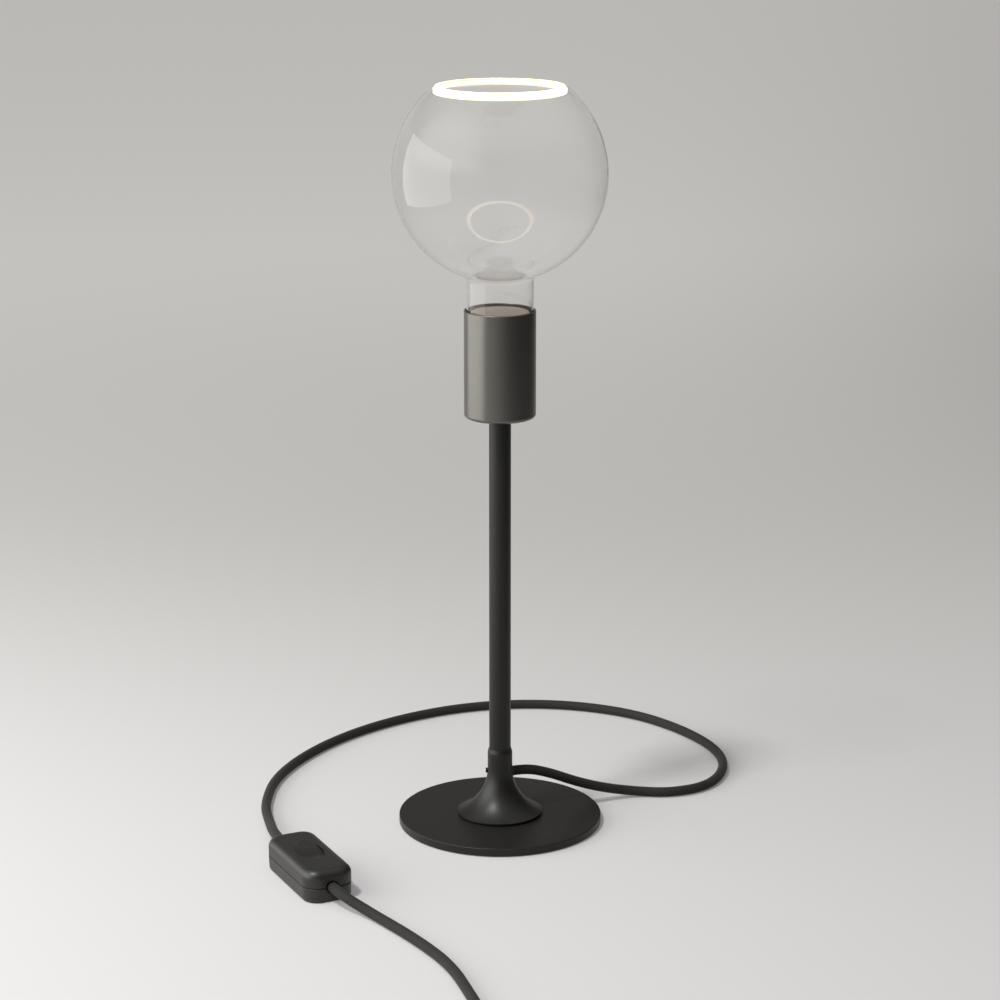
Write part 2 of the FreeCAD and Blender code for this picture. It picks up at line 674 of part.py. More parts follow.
def ring_r():
    """Outer radius of the light ring: a side gap less than the glass at the ring's shoulder."""
    shoulder = TOP_Z - GLASS_T - RING_CORNER_R - GLOBE_Z
    inner_r = GLOBE_D / 2 + GLOBE_UP_SWELL - GLASS_T
    return math.sqrt(inner_r ** 2 - shoulder ** 2) - GLOBE_UP_SWELL - RING_SIDE_GAP


def led_ring():
    """Light ring under the flat top, beside the glass."""
    outer = ring_r()
    inner = outer - RING_BAND
    z1 = TIP_Z + TOP_Z - GLASS_T
    z0 = z1 - RING_H
    c = RING_CORNER_R
    return turned([
        (inner, z0), (outer - 0.5, z0), (outer, z0 + 0.5), (outer, z1 - c),
        (corner_middle((outer - c, z1 - c), c, 45), (outer - c, z1)), (inner, z1),
    ])


def ring_leads():
    """Two fine clear conductors that follow the inside of the globe from the ring to the neck."""
    centre = TIP_Z + GLOBE_Z
    ring_bottom = TIP_Z + TOP_Z - GLASS_T - RING_H
    up_centre = -GLOBE_UP_SWELL
    far, near = GLASS_T + SLIDE_GAP, GLASS_T + SLIDE_GAP + LEAD_T
    top_z = ring_bottom - 0.4
    foot_z = TIP_Z + DOME_EDGE_Z + 4.0

    def side(depth):
        up_r = GLOBE_D / 2 + GLOBE_UP_SWELL - depth
        top_angle = math.degrees(math.asin((top_z - centre) / up_r))
        globe = GLOBE_D / 2 - depth
        neck = NECK_D / 2 - depth
        fillet_r = NECK_D / 2 + NECK_FILLET_R
        fillet_z = centre - math.sqrt((GLOBE_D / 2 + NECK_FILLET_R) ** 2 - fillet_r ** 2)
        reach = globe / (GLOBE_D / 2 + NECK_FILLET_R)
        join = (fillet_r * reach, centre + (fillet_z - centre) * reach)
        join_angle = math.degrees(math.atan2(join[1] - centre, join[0]))
        fillet_end = math.degrees(math.atan2(join[1] - fillet_z, join[0] - fillet_r)) % 360
        return {
            "top": corner_middle((up_centre, centre), up_r, top_angle),
            "up": corner_middle((up_centre, centre), up_r, top_angle / 2),
            "equator": (globe, centre),
            "down": corner_middle((0, centre), globe, join_angle / 2),
            "join": join,
            "fillet": corner_middle((fillet_r, fillet_z), NECK_FILLET_R + depth, (180 + fillet_end) / 2),
            "neck": (neck, fillet_z),
            "foot": (neck, foot_z),
        }

    a, b = side(far), side(near)
    tab_in = ring_r() - 2.0
    profile = wire_of([
        (tab_in, ring_bottom), (tab_in, ring_bottom - LEAD_T), (b["top"][0], ring_bottom - LEAD_T),
        b["top"], (b["up"], b["equator"]), (b["down"], b["join"]), (b["fillet"], b["neck"]), b["foot"],
        a["foot"], a["neck"], (a["fillet"], a["join"]), (a["down"], a["equator"]), (a["up"], a["top"]),
        (a["top"][0] - 0.8, ring_bottom),
    ])
    strip = Part.Face(profile).extrude(Vector(0, LEAD_W, 0))
    strip.translate(Vector(0, -LEAD_W / 2, 0))
    other = strip.copy()
    other.rotate(AXIS, UP, 180)
    return Part.makeCompound([strip, other])


def housing_rim_r():
    return NECK_D / 2 - GLASS_T - SLIDE_GAP - LEAD_T - SOFT_GAP


def driver_housing():
    """Plastic cup pressed into the cap; it flares into the neck and carries the mirror dome."""
    low = TIP_Z + TIP_T + INSULATOR_H + 0.6
    cap_top = TIP_Z + CAP_L
    body = neck_in_cap_r() - GLASS_T - SLIDE_GAP
    rim = housing_rim_r()
    rim_z = TIP_Z + DOME_EDGE_Z
    w = HOUSING_WALL
    return turned([
        (0, low), (body, low), (body, cap_top + 1.0), (rim, rim_z - 1.5), (rim, rim_z),
        (rim - w, rim_z), (rim - w, rim_z - 1.2), (body - w, cap_top + 1.4), (body - w, low + w),
        (0, low + w),
    ])


def driver_cover():
    """Spun mirror dome that closes the housing."""
    rim = housing_rim_r()
    edge_z = TIP_Z + DOME_EDGE_Z
    rise = DOME_R - math.sqrt(DOME_R ** 2 - rim ** 2)
    centre = edge_z + 0.8 + rise - DOME_R
    inner_r = DOME_R - DOME_T
    inner_rim_z = centre + math.sqrt(inner_r ** 2 - (rim - DOME_T) ** 2)
    half = math.radians(90) - math.asin(rim / DOME_R) / 2
    inner_half = math.radians(90) - math.asin((rim - DOME_T) / inner_r) / 2
    return turned([
        (0, centre + inner_r),
        ((inner_r * math.cos(inner_half), centre + inner_r * math.sin(inner_half)),
         (rim - DOME_T, inner_rim_z)),
        (rim - DOME_T, edge_z), (rim, edge_z), (rim, edge_z + 0.8),
        ((DOME_R * math.cos(half), centre + DOME_R * math.sin(half)), (0, centre + DOME_R)),
    ])


def driver_board():
    """Upright circuit board in the housing."""
    z0 = TIP_Z + TIP_T + INSULATOR_H + 0.6 + HOUSING_WALL
    z1 = TIP_Z + CAP_L + 3.0
    return block(-BOARD_W / 2, BOARD_W / 2, -BOARD_T / 2, BOARD_T / 2, z0, z1)


def driver_parts():
    """Capacitor, choke and rectifier that stand on the board."""
    z0 = TIP_Z + TIP_T + INSULATOR_H + 0.6 + HOUSING_WALL
    face = BOARD_T / 2
    capacitor = rod(3.0, z0 + 2.0, z0 + 14.0, -3.0, -face - 3.0)
    choke = rod(2.4, z0 + 3.0, z0 + 10.0, 3.4, -face - 2.4)
    rectifier = block(-3.0, 3.0, face, face + 2.4, z0 + 5.0, z0 + 11.0)
    chip = block(-2.0, 2.0, face, face + 1.4, z0 + 14.0, z0 + 18.0)
    return Part.makeCompound([capacitor, choke, rectifier, chip])


# ------------------------------------------------------------- switch
def plan_face(length, width, radius, z):
    """Rounded rectangle, flat at a height, centred on the axis."""
    x, y, r = length / 2, width / 2, radius
    k = r * (1 - math.sqrt(0.5))
    corners = [
        ((x, y - r), (x - k, y - k), (x - r, y)),
        ((-x + r, y), (-x + k, y - k), (-x, y - r)),
        ((-x, -y + r), (-x + k, -y + k), (-x + r, -y)),
        ((x - r, -y), (x - k, -y + k), (x, -y + r)),
    ]
    edges, here = [], Vector(x, -y + r, z)
    for start, middle, end in corners:
        edges.append(Part.LineSegment(here, Vector(start[0], start[1], z)).toShape())
        edges.append(Part.Arc(Vector(start[0], start[1], z), Vector(middle[0], middle[1], z),
                              Vector(end[0], end[1], z)).toShape())
        here = Vector(end[0], end[1], z)
    return Part.Wire(edges)


def cord_channel(radius):
    """Bore for the cord, from end to end of the switch, with a wider mouth in either end wall."""
    along = Vector(1, 0, 0)
    bore = Part.makeCylinder(radius, SWITCH_L + 4, Vector(-SWITCH_L / 2 - 2, 0, SWITCH_AXIS_Z), along)
    for side in (-1, 1):
        mouth = Part.makeCylinder(radius + MOUTH_ROOM, MOUTH_DEPTH + 2,
                                  Vector(side * (SWITCH_L / 2 - MOUTH_DEPTH), 0, SWITCH_AXIS_Z), along * side)
        bore = bore.fuse(mouth)
    return bore


def cover_screw_places():
    return [(-COVER_SCREW_X, -COVER_SCREW_Y), (COVER_SCREW_X, COVER_SCREW_Y)]


def clamp_places():
    return [-CLAMP_X, CLAMP_X]


CLAMP_POST_Y = CORD_D / 2 + 2.6
CLAMP_Z = SWITCH_AXIS_Z + CORD_D / 2 + SLIDE_GAP


def switch_base():
    """Lower shell: walls that draw in downwards, posts for the clamps, holes for the screws."""
    top = plan_face(SWITCH_L, SWITCH_W, SWITCH_CORNER_R, SWITCH_PARTING_Z - PARTING_CHAMFER)
    lip = plan_face(SWITCH_L - 2 * PARTING_CHAMFER, SWITCH_W - 2 * PARTING_CHAMFER,
                    SWITCH_CORNER_R - PARTING_CHAMFER, SWITCH_PARTING_Z)
    low = plan_face(SWITCH_L - 2 * SWITCH_DRAFT * 0.5, SWITCH_W - 2 * SWITCH_DRAFT * 0.5,
                    SWITCH_CORNER_R - SWITCH_DRAFT * 0.5, 1.6)
    foot = plan_face(SWITCH_L - 2 * SWITCH_DRAFT - 1.4, SWITCH_W - 2 * SWITCH_DRAFT - 1.4,
                     SWITCH_CORNER_R - SWITCH_DRAFT, 0)
    shell = Part.makeLoft([foot, low, top, lip], True, True)
    inset = 2 * (SWITCH_WALL + SWITCH_DRAFT * 0.5)
    room = Part.Face(plan_face(SWITCH_L - inset, SWITCH_W - inset, SWITCH_CORNER_R - SWITCH_WALL, 1.8))
    shell = shell.cut(room.extrude(Vector(0, 0, SWITCH_PARTING_Z)))
    for x in clamp_places():
        for side in (-1, 1):
            post = rod(2.0, 1.8, CLAMP_Z, x, side * CLAMP_POST_Y)
            shell = shell.fuse(post.cut(rod(0.8 + SLIDE_GAP, 4.0, CLAMP_Z + 1, x, side * CLAMP_POST_Y)))
    for x, y in cover_screw_places():
        shell = shell.fuse(rod(COVER_BOSS_D / 2, 1.8, SWITCH_PARTING_Z, x, y))
    for x, y in cover_screw_places():
        shell = shell.cut(rod(1.25 + SLIDE_GAP, -1, SWITCH_PARTING_Z + 1, x, y))
        shell = shell.cut(rod(2.5, -1, COVER_SCREW_SEAT, x, y))
    return shell.cut(cord_channel(CORD_D / 2 + SOFT_GAP)).removeSplitter()


def rocker_form(grow=0.0):
    """Barrel turned about the pivot, so the gap round the rocker stays even as it tips."""
    major, minor = ROCKER_R + grow, ROCKER_HALF_W + grow
    end = math.asin((ROCKER_CHEEK + grow) / minor)
    side = Part.Ellipse(AXIS, major, minor).toShape(-end, end)
    low, high = (vertex.Point for vertex in side.Vertexes)
    spindle = Part.makePolygon([high, Vector(0, high.y, 0), Vector(0, low.y, 0), low])
    barrel = Part.Face(Part.Wire([side] + spindle.Edges)).revolve(AXIS, Vector(0, 1, 0), 360)
    barrel.translate(Vector(0, 0, ROCKER_PIVOT_Z))
    return barrel


def switch_cover():
    """Upper shell: rounded top, oval opening for the rocker, ears for its trunnions, screw bosses."""
    low = plan_face(SWITCH_L - 2 * PARTING_CHAMFER, SWITCH_W - 2 * PARTING_CHAMFER,
                    SWITCH_CORNER_R - PARTING_CHAMFER, SWITCH_PARTING_Z)
    edge = plan_face(SWITCH_L, SWITCH_W, SWITCH_CORNER_R, SWITCH_PARTING_Z + PARTING_CHAMFER)
    skirt = Part.makeLoft([low, edge], True, True)
    upper = Part.Face(plan_face(SWITCH_L, SWITCH_W, SWITCH_CORNER_R, SWITCH_PARTING_Z + PARTING_CHAMFER))
    upper = upper.extrude(Vector(0, 0, SWITCH_H - SWITCH_PARTING_Z - PARTING_CHAMFER))
    rim = [edge for edge in upper.Edges if abs(edge.BoundBox.ZMin - SWITCH_H) < 1e-6]
    upper = upper.makeFillet(SWITCH_TOP_R, rim)
    shell = upper.fuse(skirt)
    inset = 2 * SWITCH_WALL
    room = Part.Face(plan_face(SWITCH_L - inset, SWITCH_W - inset, SWITCH_CORNER_R - SWITCH_WALL,
                               SWITCH_PARTING_Z - 1))
    room = room.extrude(Vector(0, 0, SWITCH_H - SWITCH_WALL - SWITCH_PARTING_Z + 1))
    rim = [edge for edge in room.Edges if abs(edge.BoundBox.ZMin - (SWITCH_H - SWITCH_WALL)) < 1e-6]
    room = room.makeFillet(SWITCH_TOP_R - 1.0, rim)
    shell = shell.cut(room)
    ear_y = ROCKER_CHEEK + SOFT_GAP
    for side in (-1, 1):
        y0, y1 = sorted((side * ear_y, side * (ear_y + TRUNNION_L)))
        shell = shell.fuse(block(-3.6, 3.6, y0, y1, ROCKER_PIVOT_Z - 3.0, SWITCH_H - SWITCH_WALL + 0.5))
    for x, y in cover_screw_places():
        shell = shell.fuse(rod(COVER_BOSS_D / 2, SWITCH_PARTING_Z, SWITCH_H - SWITCH_WALL + 0.5, x, y))
    for x, y in cover_screw_places():
        shell = shell.cut(rod(1.25 + SLIDE_GAP, SWITCH_PARTING_Z - 1, SWITCH_PARTING_Z + 6.0, x, y))
    shell = shell.cut(rocker_form(SOFT_GAP))
    bearing = Part.makeCylinder(TRUNNION_D / 2 + TRUNNION_GAP, 2 * (ear_y + TRUNNION_L) + 1,
                                Vector(0, -ear_y - TRUNNION_L - 0.5, ROCKER_PIVOT_Z), Vector(0, 1, 0))
    shell = shell.cut(bearing)
    return shell.cut(cord_channel(CORD_D / 2 + SOFT_GAP)).removeSplitter()


def tipped(shape):
    """Turn a piece of the rocker about its pivot to its rest position: on, the plug's end down."""
    shape.rotate(Vector(0, 0, ROCKER_PIVOT_Z), Vector(0, 1, 0), ROCKER_TILT)
    return shape


def switch_rocker():
    """Rocker key: dished top, barrel sides, trunnions, and a leg that carries the contact bridge."""
    z = ROCKER_PIVOT_Z
    slab = block(-20, 20, -10, 10, z + ROCKER_BOTTOM, z + ROCKER_TOP)
    key = rocker_form().common(slab)
    dish_centre = z + ROCKER_TOP - ROCKER_DISH_DEPTH + ROCKER_DISH_R
    dish = Part.makeCylinder(ROCKER_DISH_R, 24, Vector(0, -12, dish_centre), Vector(0, 1, 0))
    key = key.cut(dish)
    rim = [edge for edge in key.Edges if edge.BoundBox.ZMin > z + ROCKER_TOP - ROCKER_DISH_DEPTH - 0.3]
    key = key.makeFillet(ROCKER_EDGE_R, rim)
    trunnion = Part.makeCylinder(TRUNNION_D / 2, 2 * (ROCKER_CHEEK + TRUNNION_L),
                                 Vector(0, -ROCKER_CHEEK - TRUNNION_L, z), Vector(0, 1, 0))
    leg = block(-2.5, 2.5, -3.0, 3.0, z - LEG_DROP, z + ROCKER_BOTTOM + 0.5)
    return tipped(key.fuse(trunnion).fuse(leg).removeSplitter())


def contact_bridge():
    """Copper strip clipped under the rocker's leg; one end closes the circuit when that end is down."""
    z = ROCKER_PIVOT_Z - LEG_DROP
    strip = block(-BRIDGE_L / 2, BRIDGE_L / 2, -2.0, 2.0, z - BRIDGE_T, z)
    button = rod(BUTTON_R, z - BRIDGE_T - BUTTON_H, z - BRIDGE_T, BUTTON_X)
    return tipped(strip.fuse(button).removeSplitter())


def switch_contacts():
    """Two brass terminals on the floor of the base, with the fulcrum and the fixed contact."""
    floor = 1.8
    y0, y1 = -2.0, 2.0
    bridge_drop = LEG_DROP + BRIDGE_T
    tilt = math.radians(ROCKER_TILT)
    fulcrum_top = ROCKER_PIVOT_Z - bridge_drop - math.sin(tilt) - FACE_GAP
    fixed_top = (ROCKER_PIVOT_Z - (bridge_drop + BUTTON_H) * math.cos(tilt)
                 - (BUTTON_X + BUTTON_R) * math.sin(tilt) - FACE_GAP)
    fulcrum = block(-13.0, 1.0, y0, y1, floor, floor + 0.8)
    fulcrum = fulcrum.fuse(block(-1.0, 1.0, y0, y1, floor, fulcrum_top))
    fulcrum = fulcrum.fuse(block(-18.0, -12.4, TERMINAL_Y - 3.0, TERMINAL_Y + 3.0, floor, floor + 5.2))
    fixed = block(5.0, 13.0, y0, y1, floor, floor + 0.8)
    fixed = fixed.fuse(block(BUTTON_X - 2.0, BUTTON_X + 2.0, y0, y1, floor, fixed_top))
    fixed = fixed.fuse(block(12.4, 18.0, TERMINAL_Y - 3.0, TERMINAL_Y + 3.0, floor, floor + 5.2))
    made = []
    for piece, side in ((fulcrum, -1), (fixed, 1)):
        hole = Part.makeCylinder(CORE_D / 2 + SLIDE_GAP, 4.2, Vector(side * 18.1, TERMINAL_Y, 4.2),
                                 Vector(-side, 0, 0))
        screw_hole = rod(1.0 + SLIDE_GAP, 4.2, 8.0, side * TERMINAL_X, TERMINAL_Y)
        made.append(piece.cut(hole).cut(screw_hole).removeSplitter())
    return Part.makeCompound(made)


def screw(x, y, seat, tip, shank_r, head_r, head_h, down):
    """Slotted pan-head screw on a vertical axis; it points down from its seat, or up."""
    way = -1 if down else 1
    shank = rod(shank_r, min(seat, tip), max(seat, tip), x, y)
    head_end = seat - way * head_h
    head = rod(head_r, min(seat, head_end), max(seat, head_end), x, y)
    cut_a, cut_b = sorted((head_end + way * head_h * 0.5, head_end - way))
    slot = block(x - head_r - 1, x + head_r + 1, y - 0.25, y + 0.25, cut_a, cut_b)
    return shank.fuse(head).cut(slot)


def switch_screws():
    """Two screws close the shells from below, two hold the cores, four hold the clamps."""
    made = [screw(x, y, COVER_SCREW_SEAT, SWITCH_PARTING_Z + 5.0, 1.25, 2.3, 1.2, False)
            for x, y in cover_screw_places()]
    for side in (-1, 1):
        made.append(screw(side * TERMINAL_X, TERMINAL_Y, 7.0, 4.2 + CORE_D / 2 + SLIDE_GAP,
                          1.0, 1.8, 1.2, True))
    for x in clamp_places():
        for side in (-1, 1):
            made.append(screw(x, side * CLAMP_POST_Y, CLAMP_Z + 1.2, 5.0, 0.8, 1.6, 1.0, True))
    return Part.makeCompound(made)


def cord_clamps():
    """Two saddle bars that hold the jackets down at either end of the switch."""
    bars = []
    for x in clamp_places():
        bar = block(x - 2.0, x + 2.0, -CLAMP_POST_Y - 2.2, CLAMP_POST_Y + 2.2, CLAMP_Z, CLAMP_Z + 1.2)
        for side in (-1, 1):
            bar = bar.cut(rod(0.8 + SLIDE_GAP, CLAMP_Z - 1, CLAMP_Z + 2, x, side * CLAMP_POST_Y))
        bars.append(bar)
    return Part.makeCompound(bars)


def switch_cores():
    """Cores in the switch: one runs through uncut, the other is cut and goes to the terminals."""
    y = CORE_STEP / 2
    z = SWITCH_AXIS_Z
    through = [Vector(-JACKET_END, y, z), Vector(-21.0, y, z), Vector(-15.5, 6.4, 6.0),
               Vector(-9.0, 8.8, 4.2), Vector(9.0, 9.0, 4.2), Vector(14.5, 5.4, 6.0),
               Vector(21.0, y, z), Vector(JACKET_END, y, z)]
    made = [routed_tube(through, CORE_D, "switch core")]
    for side in (-1, 1):
        cut = [Vector(side * JACKET_END, -y, z), Vector(side * 22.2, -y, z),
               Vector(side * 20.0, TERMINAL_Y + 0.4, 4.6), Vector(side * 18.4, TERMINAL_Y, 4.2),
               Vector(side * 14.6, TERMINAL_Y, 4.2)]
        made.append(routed_tube(cut, CORE_D, "switch core"))
    return Part.makeCompound(made)


def at_switch(shape):
    """Put a piece of the switch where it lies."""
    shape.rotate(AXIS, UP, SWITCH_ANGLE)
    shape.translate(Vector(SWITCH_X, SWITCH_Y, 0))
    return shape


def switch_point(along):
    turn = math.radians(SWITCH_ANGLE)
    return Vector(SWITCH_X + along * math.cos(turn), SWITCH_Y + along * math.sin(turn), SWITCH_AXIS_Z)


# ------------------------------------------------------------- cord outside the lamp
def cord_lamp_side():
    start = exit_direction() * CORD_START + UP * EXIT_Z
    points = [start, exit_direction() * EXIT_RUN + UP * EXIT_Z]
    points += [Vector(*p) for p in LAMP_SIDE_ROUTE]
    points += [switch_point(-SWITCH_L / 2 - SWITCH_RUN_IN), switch_point(-JACKET_END)]
    return routed_tube(points, CORD_D, "cord_lamp_side")


def cord_plug_side():
    points = [switch_point(JACKET_END), switch_point(SWITCH_L / 2 + SWITCH_RUN_OUT)]
    points += [Vector(*p) for p in PLUG_SIDE_ROUTE]
    points += [coil_start(COIL_RUN_IN), coil_start()]
    return routed_tube(points, CORD_D, "cord_plug_side")


def coil_place(turns):
    """Axis point and direction of the coil after a number of turns."""
    angle = math.pi + 2 * math.pi * turns
    half = COIL_TURNS / 2
    radius = COIL_OUT_R - COIL_PITCH * min(turns, COIL_TURNS - turns)
    rate = 0.0 if abs(turns - half) < 1e-9 else math.copysign(COIL_PITCH, turns - half) / (2 * math.pi)
    share = min(max((turns - half) / 0.5 + 0.5, 0.0), 1.0)
    height = COIL_LOW_Z + COIL_LAYER * (1 - math.cos(math.pi * share)) / 2
    climb = COIL_LAYER * math.pi / 2 * math.sin(math.pi * share) / math.pi if 0 < share < 1 else 0.0
    out = Vector(math.cos(angle), math.sin(angle), 0)
    round_ = Vector(-math.sin(angle), math.cos(angle), 0)
    point = Vector(COIL_X, COIL_Y, 0) + out * radius + UP * height
    return point, (out * rate + round_ * radius + UP * climb).normalize()


def coil_start(before=0.0):
    """The coil's first end, or a point in line with it, before it."""
    point, direction = coil_place(0)
    return point - direction * (CORD_D + before)


def coil_end(after=0.0):
    point, direction = coil_place(COIL_TURNS)
    return point + direction * (CORD_D + after)


def biarc(p0, t0, p1, t1):
    """Two arcs that join two points along their directions, and the corners of each arc."""
    gap, both = p1 - p0, t0 + t1
    a = 2 * (1 - t0.dot(t1))
    b = gap.dot(both)
    reach = (-b + math.sqrt(b * b + a * gap.dot(gap))) / a
    first, second = p0 + t0 * reach, p1 - t1 * reach
    middle = (first + second) * 0.5
    return [arc_between(p0, first, middle), arc_between(middle, second, p1)]


def cord_coil():
    """Spare cord, wound in and out again in two layers, as one tube with straight ends."""
    half_steps = [0.0]
    while half_steps[-1] < COIL_TURNS / 2 - 1e-9:
        left = COIL_TURNS / 2 - half_steps[-1]
        half_steps.append(half_steps[-1] + (left % 0.25 if left % 0.25 > 1e-9 else 0.25))
    steps = half_steps + [COIL_TURNS - s for s in reversed(half_steps[:-1])]
    places = [coil_place(s) for s in steps]
    edges = [Part.LineSegment(coil_start(), places[0][0]).toShape()]
    for (p0, t0), (p1, t1) in zip(places, places[1:]):
        edges += biarc(p0, t0, p1, t1)
    edges.append(Part.LineSegment(places[-1][0], coil_end()).toShape())
    radii = [edge.Curve.Radius for edge in edges if hasattr(edge.Curve, "Radius")]
    coil = swept(edges, coil_start(), places[0][1], CORD_D, "cord_coil", [min(radii), max(radii)])
    print("cord_coil: least gap to itself %.2f mm" % (coil_self_gap(edges) - CORD_D))
    return coil


def coil_self_gap(edges):
    """Least distance between axis points that lie more than a half turn apart."""
    samples, run = [], 0.0
    for edge in edges:
        count = max(int(edge.Length / 3), 2)
        for k in range(count):
            t = edge.FirstParameter + (edge.LastParameter - edge.FirstParameter) * k / count
            samples.append((run + edge.Length * k / count, edge.valueAt(t)))
        run += edge.Length
    apart = math.pi * (COIL_OUT_R - COIL_PITCH * COIL_TURNS / 2)
    return min(p.distanceToPoint(q) for i, (s, p) in enumerate(samples)
               for r, q in samples[i + 1:] if r - s > apart)


def coil_tie():
    """Strap round the bundle, on the side away from the lead-in."""
    gap = CORD_D / 2 + SOFT_GAP + 0.2
    turns = 0.625
    outer_r = COIL_OUT_R - COIL_PITCH * turns
    inner_r = outer_r - COIL_PITCH
    x0, x1 = inner_r - gap, outer_r + gap
    z0, z1 = TIE_T, COIL_HIGH_Z + gap
    band = block(x0 - TIE_T, x1 + TIE_T, -TIE_W / 2, TIE_W / 2, z0 - TIE_T, z1 + TIE_T)
    edges = [edge for edge in band.Edges if abs(edge.BoundBox.YLength - TIE_W) < 1e-6]
    band = band.makeFillet(2.6, edges)
    hole = block(x0, x1, -TIE_W, TIE_W, z0, z1)
    edges = [edge for edge in hole.Edges if abs(edge.BoundBox.YLength - 2 * TIE_W) < 1e-6]
    band = band.cut(hole.makeFillet(2.0, edges))
    band.rotate(AXIS, UP, 180 + 360 * turns)
    band.translate(Vector(COIL_X, COIL_Y, 0))
    return band


def cord_plug_lead():
    points = [coil_end(), coil_end(COIL_RUN_OUT), plug_point(-PLUG_RUN_IN), plug_point(RELIEF_BORE_L)]
    return routed_tube(points, CORD_D, "cord_plug_lead")


# ------------------------------------------------------------- plug
def plug_point(along):
    turn = math.radians(PLUG_ANGLE)
    return Vector(PLUG_X + along * math.cos(turn), PLUG_Y + along * math.sin(turn), PLUG_T / 2)


def at_plug(shape):
    shape.rotate(AXIS, UP, PLUG_ANGLE)
    shape.translate(Vector(PLUG_X, PLUG_Y, PLUG_T / 2))
    return shape


def plug_relief():
    """Ribbed tapered boot between the cord and the plug."""
    ribs = 5
    bore = CORD_D / 2 + SLIDE_GAP
    thin, thick = RELIEF_THIN_D / 2, RELIEF_THICK_D / 2
    step = (RELIEF_L - 4.0) / ribs
    points = [(bore, 0), (thin - 0.3, 0), (thin, 0.3)]
    for k in range(ribs):
        z0 = 2.0 + k * step
        r0 = thin + (thick - thin) * z0 / RELIEF_L
        r1 = thin + (thick - thin) * (z0 + 1.6) / RELIEF_L
        points += [(r0, z0), (r0 - 0.8, z0 + 0.3), (r1 - 0.8, z0 + 1.5), (r1, z0 + 1.8)]
    points += [(thick, RELIEF_L), (0, RELIEF_L), (0, RELIEF_BORE_L), (bore, RELIEF_BORE_L)]
    boot = turned(points)
    boot.rotate(AXIS, Vector(0, 1, 0), 90)
    return at_plug(boot)


def pin_rod(radius, x0, x1, side):
    return Part.makeCylinder(radius, x1 - x0, Vector(x0, side * PIN_SPACING / 2, 0), Vector(1, 0, 0))


def plug_body():
    """Flat two-pole plug: a neck that widens into wings, rounded all round, with pin sleeves."""
    x0 = RELIEF_L
    x1 = x0 + PLUG_L
    neck, wing = PLUG_NECK_W / 2, PLUG_W / 2
    outline = [(x0, -neck), (x0 + 6, -neck - 0.4), (x0 + 20, -wing), (x1, -wing),
               (x1, wing), (x0 + 20, wing), (x0 + 6, neck + 0.4), (x0, neck)]
    corners = [Vector(x, y, -PLUG_T / 2) for x, y in outline]
    body = Part.Face(Part.makePolygon(corners + corners[:1])).extrude(Vector(0, 0, PLUG_T))
    upright = [edge for edge in body.Edges if abs(edge.BoundBox.ZLength - PLUG_T) < 1e-6
               and x0 + 1 < edge.BoundBox.XMin]
    body = body.makeFillet(4.0, upright)
    level = [edge for edge in body.Edges if edge.BoundBox.ZLength < 1e-6
             and not (abs(edge.BoundBox.XMin - x0) < 1e-6 and edge.BoundBox.XLength < 1e-6)]
    body = body.makeFillet(PLUG_EDGE_R, level)
    for side in (-1, 1):
        body = body.fuse(pin_rod(PIN_SLEEVE_D / 2, x1 - 1.0, x1 + PIN_SLEEVE_L, side))
    for side in (-1, 1):
        body = body.cut(pin_rod(PIN_CORE_D / 2 + SLIDE_GAP, x1 - 12.0, x1 + PIN_L, side))
    return at_plug(body.removeSplitter())


def plug_pins():
    """Two brass pins with rounded tips; the inner half is thinner, inside its sleeve."""
    x1 = RELIEF_L + PLUG_L
    pins = []
    for side in (-1, 1):
        core = pin_rod(PIN_CORE_D / 2, x1 - 12.0, x1 + PIN_SLEEVE_L + 1.0, side)
        tip = pin_rod(PIN_D / 2, x1 + PIN_SLEEVE_L, x1 + PIN_L, side)
        end = [edge for edge in tip.Edges if abs(edge.BoundBox.XMin - x1 - PIN_L) < 1e-6
               and edge.BoundBox.XLength < 1e-6]
        pins.append(core.fuse(tip.makeFillet(1.2, end)).removeSplitter())
    return at_plug(Part.makeCompound(pins))


# ------------------------------------------------------------- the whole lamp
NODES = {
    "base_plate": base_plate, "base_pad": base_pad, "base_bell": base_bell, "stem_tube": stem_tube,
    "lower_nipple": lower_nipple, "nipple_washer": nipple_washer, "nipple_nut": nipple_nut,
    "grub_screw": grub_screw, "cord_bush": cord_bush, "stem_cord": stem_cord,
    "cord_cores": cord_cores, "upper_nipple": upper_nipple, "lampholder_cup": lampholder_cup,
    "holder_cap": holder_cap, "holder_block": holder_block, "holder_shell": holder_shell,
    "centre_contact": centre_contact, "side_contact": side_contact,
    "holder_terminals": holder_terminals, "holder_screws": holder_screws,
    "bulb_tip_contact": bulb_tip_contact, "bulb_cap_insulator": bulb_cap_insulator,
    "bulb_cap_shell": bulb_cap_shell, "bulb_glass": bulb_glass, "led_ring": led_ring,
    "ring_leads": ring_leads, "driver_housing": driver_housing, "driver_cover": driver_cover,
    "driver_board": driver_board, "driver_parts": driver_parts,
    "switch_base": lambda: at_switch(switch_base()), "switch_cover": lambda: at_switch(switch_cover()),
    "switch_rocker": lambda: at_switch(switch_rocker()),
    "contact_bridge": lambda: at_switch(contact_bridge()),
    "switch_contacts": lambda: at_switch(switch_contacts()),
    "switch_screws": lambda: at_switch(switch_screws()),
    "cord_clamps": lambda: at_switch(cord_clamps()), "switch_cores": lambda: at_switch(switch_cores()),
    "cord_lamp_side": cord_lamp_side, "cord_plug_side": cord_plug_side, "cord_coil": cord_coil,
    "coil_tie": coil_tie, "cord_plug_lead": cord_plug_lead, "plug_relief": plug_relief,
    "plug_body": plug_body, "plug_pins": plug_pins,
}

os.makedirs("parts", exist_ok=True)
for node, make in NODES.items():
    made = make()
    if not made.isValid() or not made.Solids:
        raise RuntimeError("%s is not a valid solid" % node)
    made.exportStep("parts/%s.step" % node)
print("%d nodes" % len(NODES))
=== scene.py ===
import math

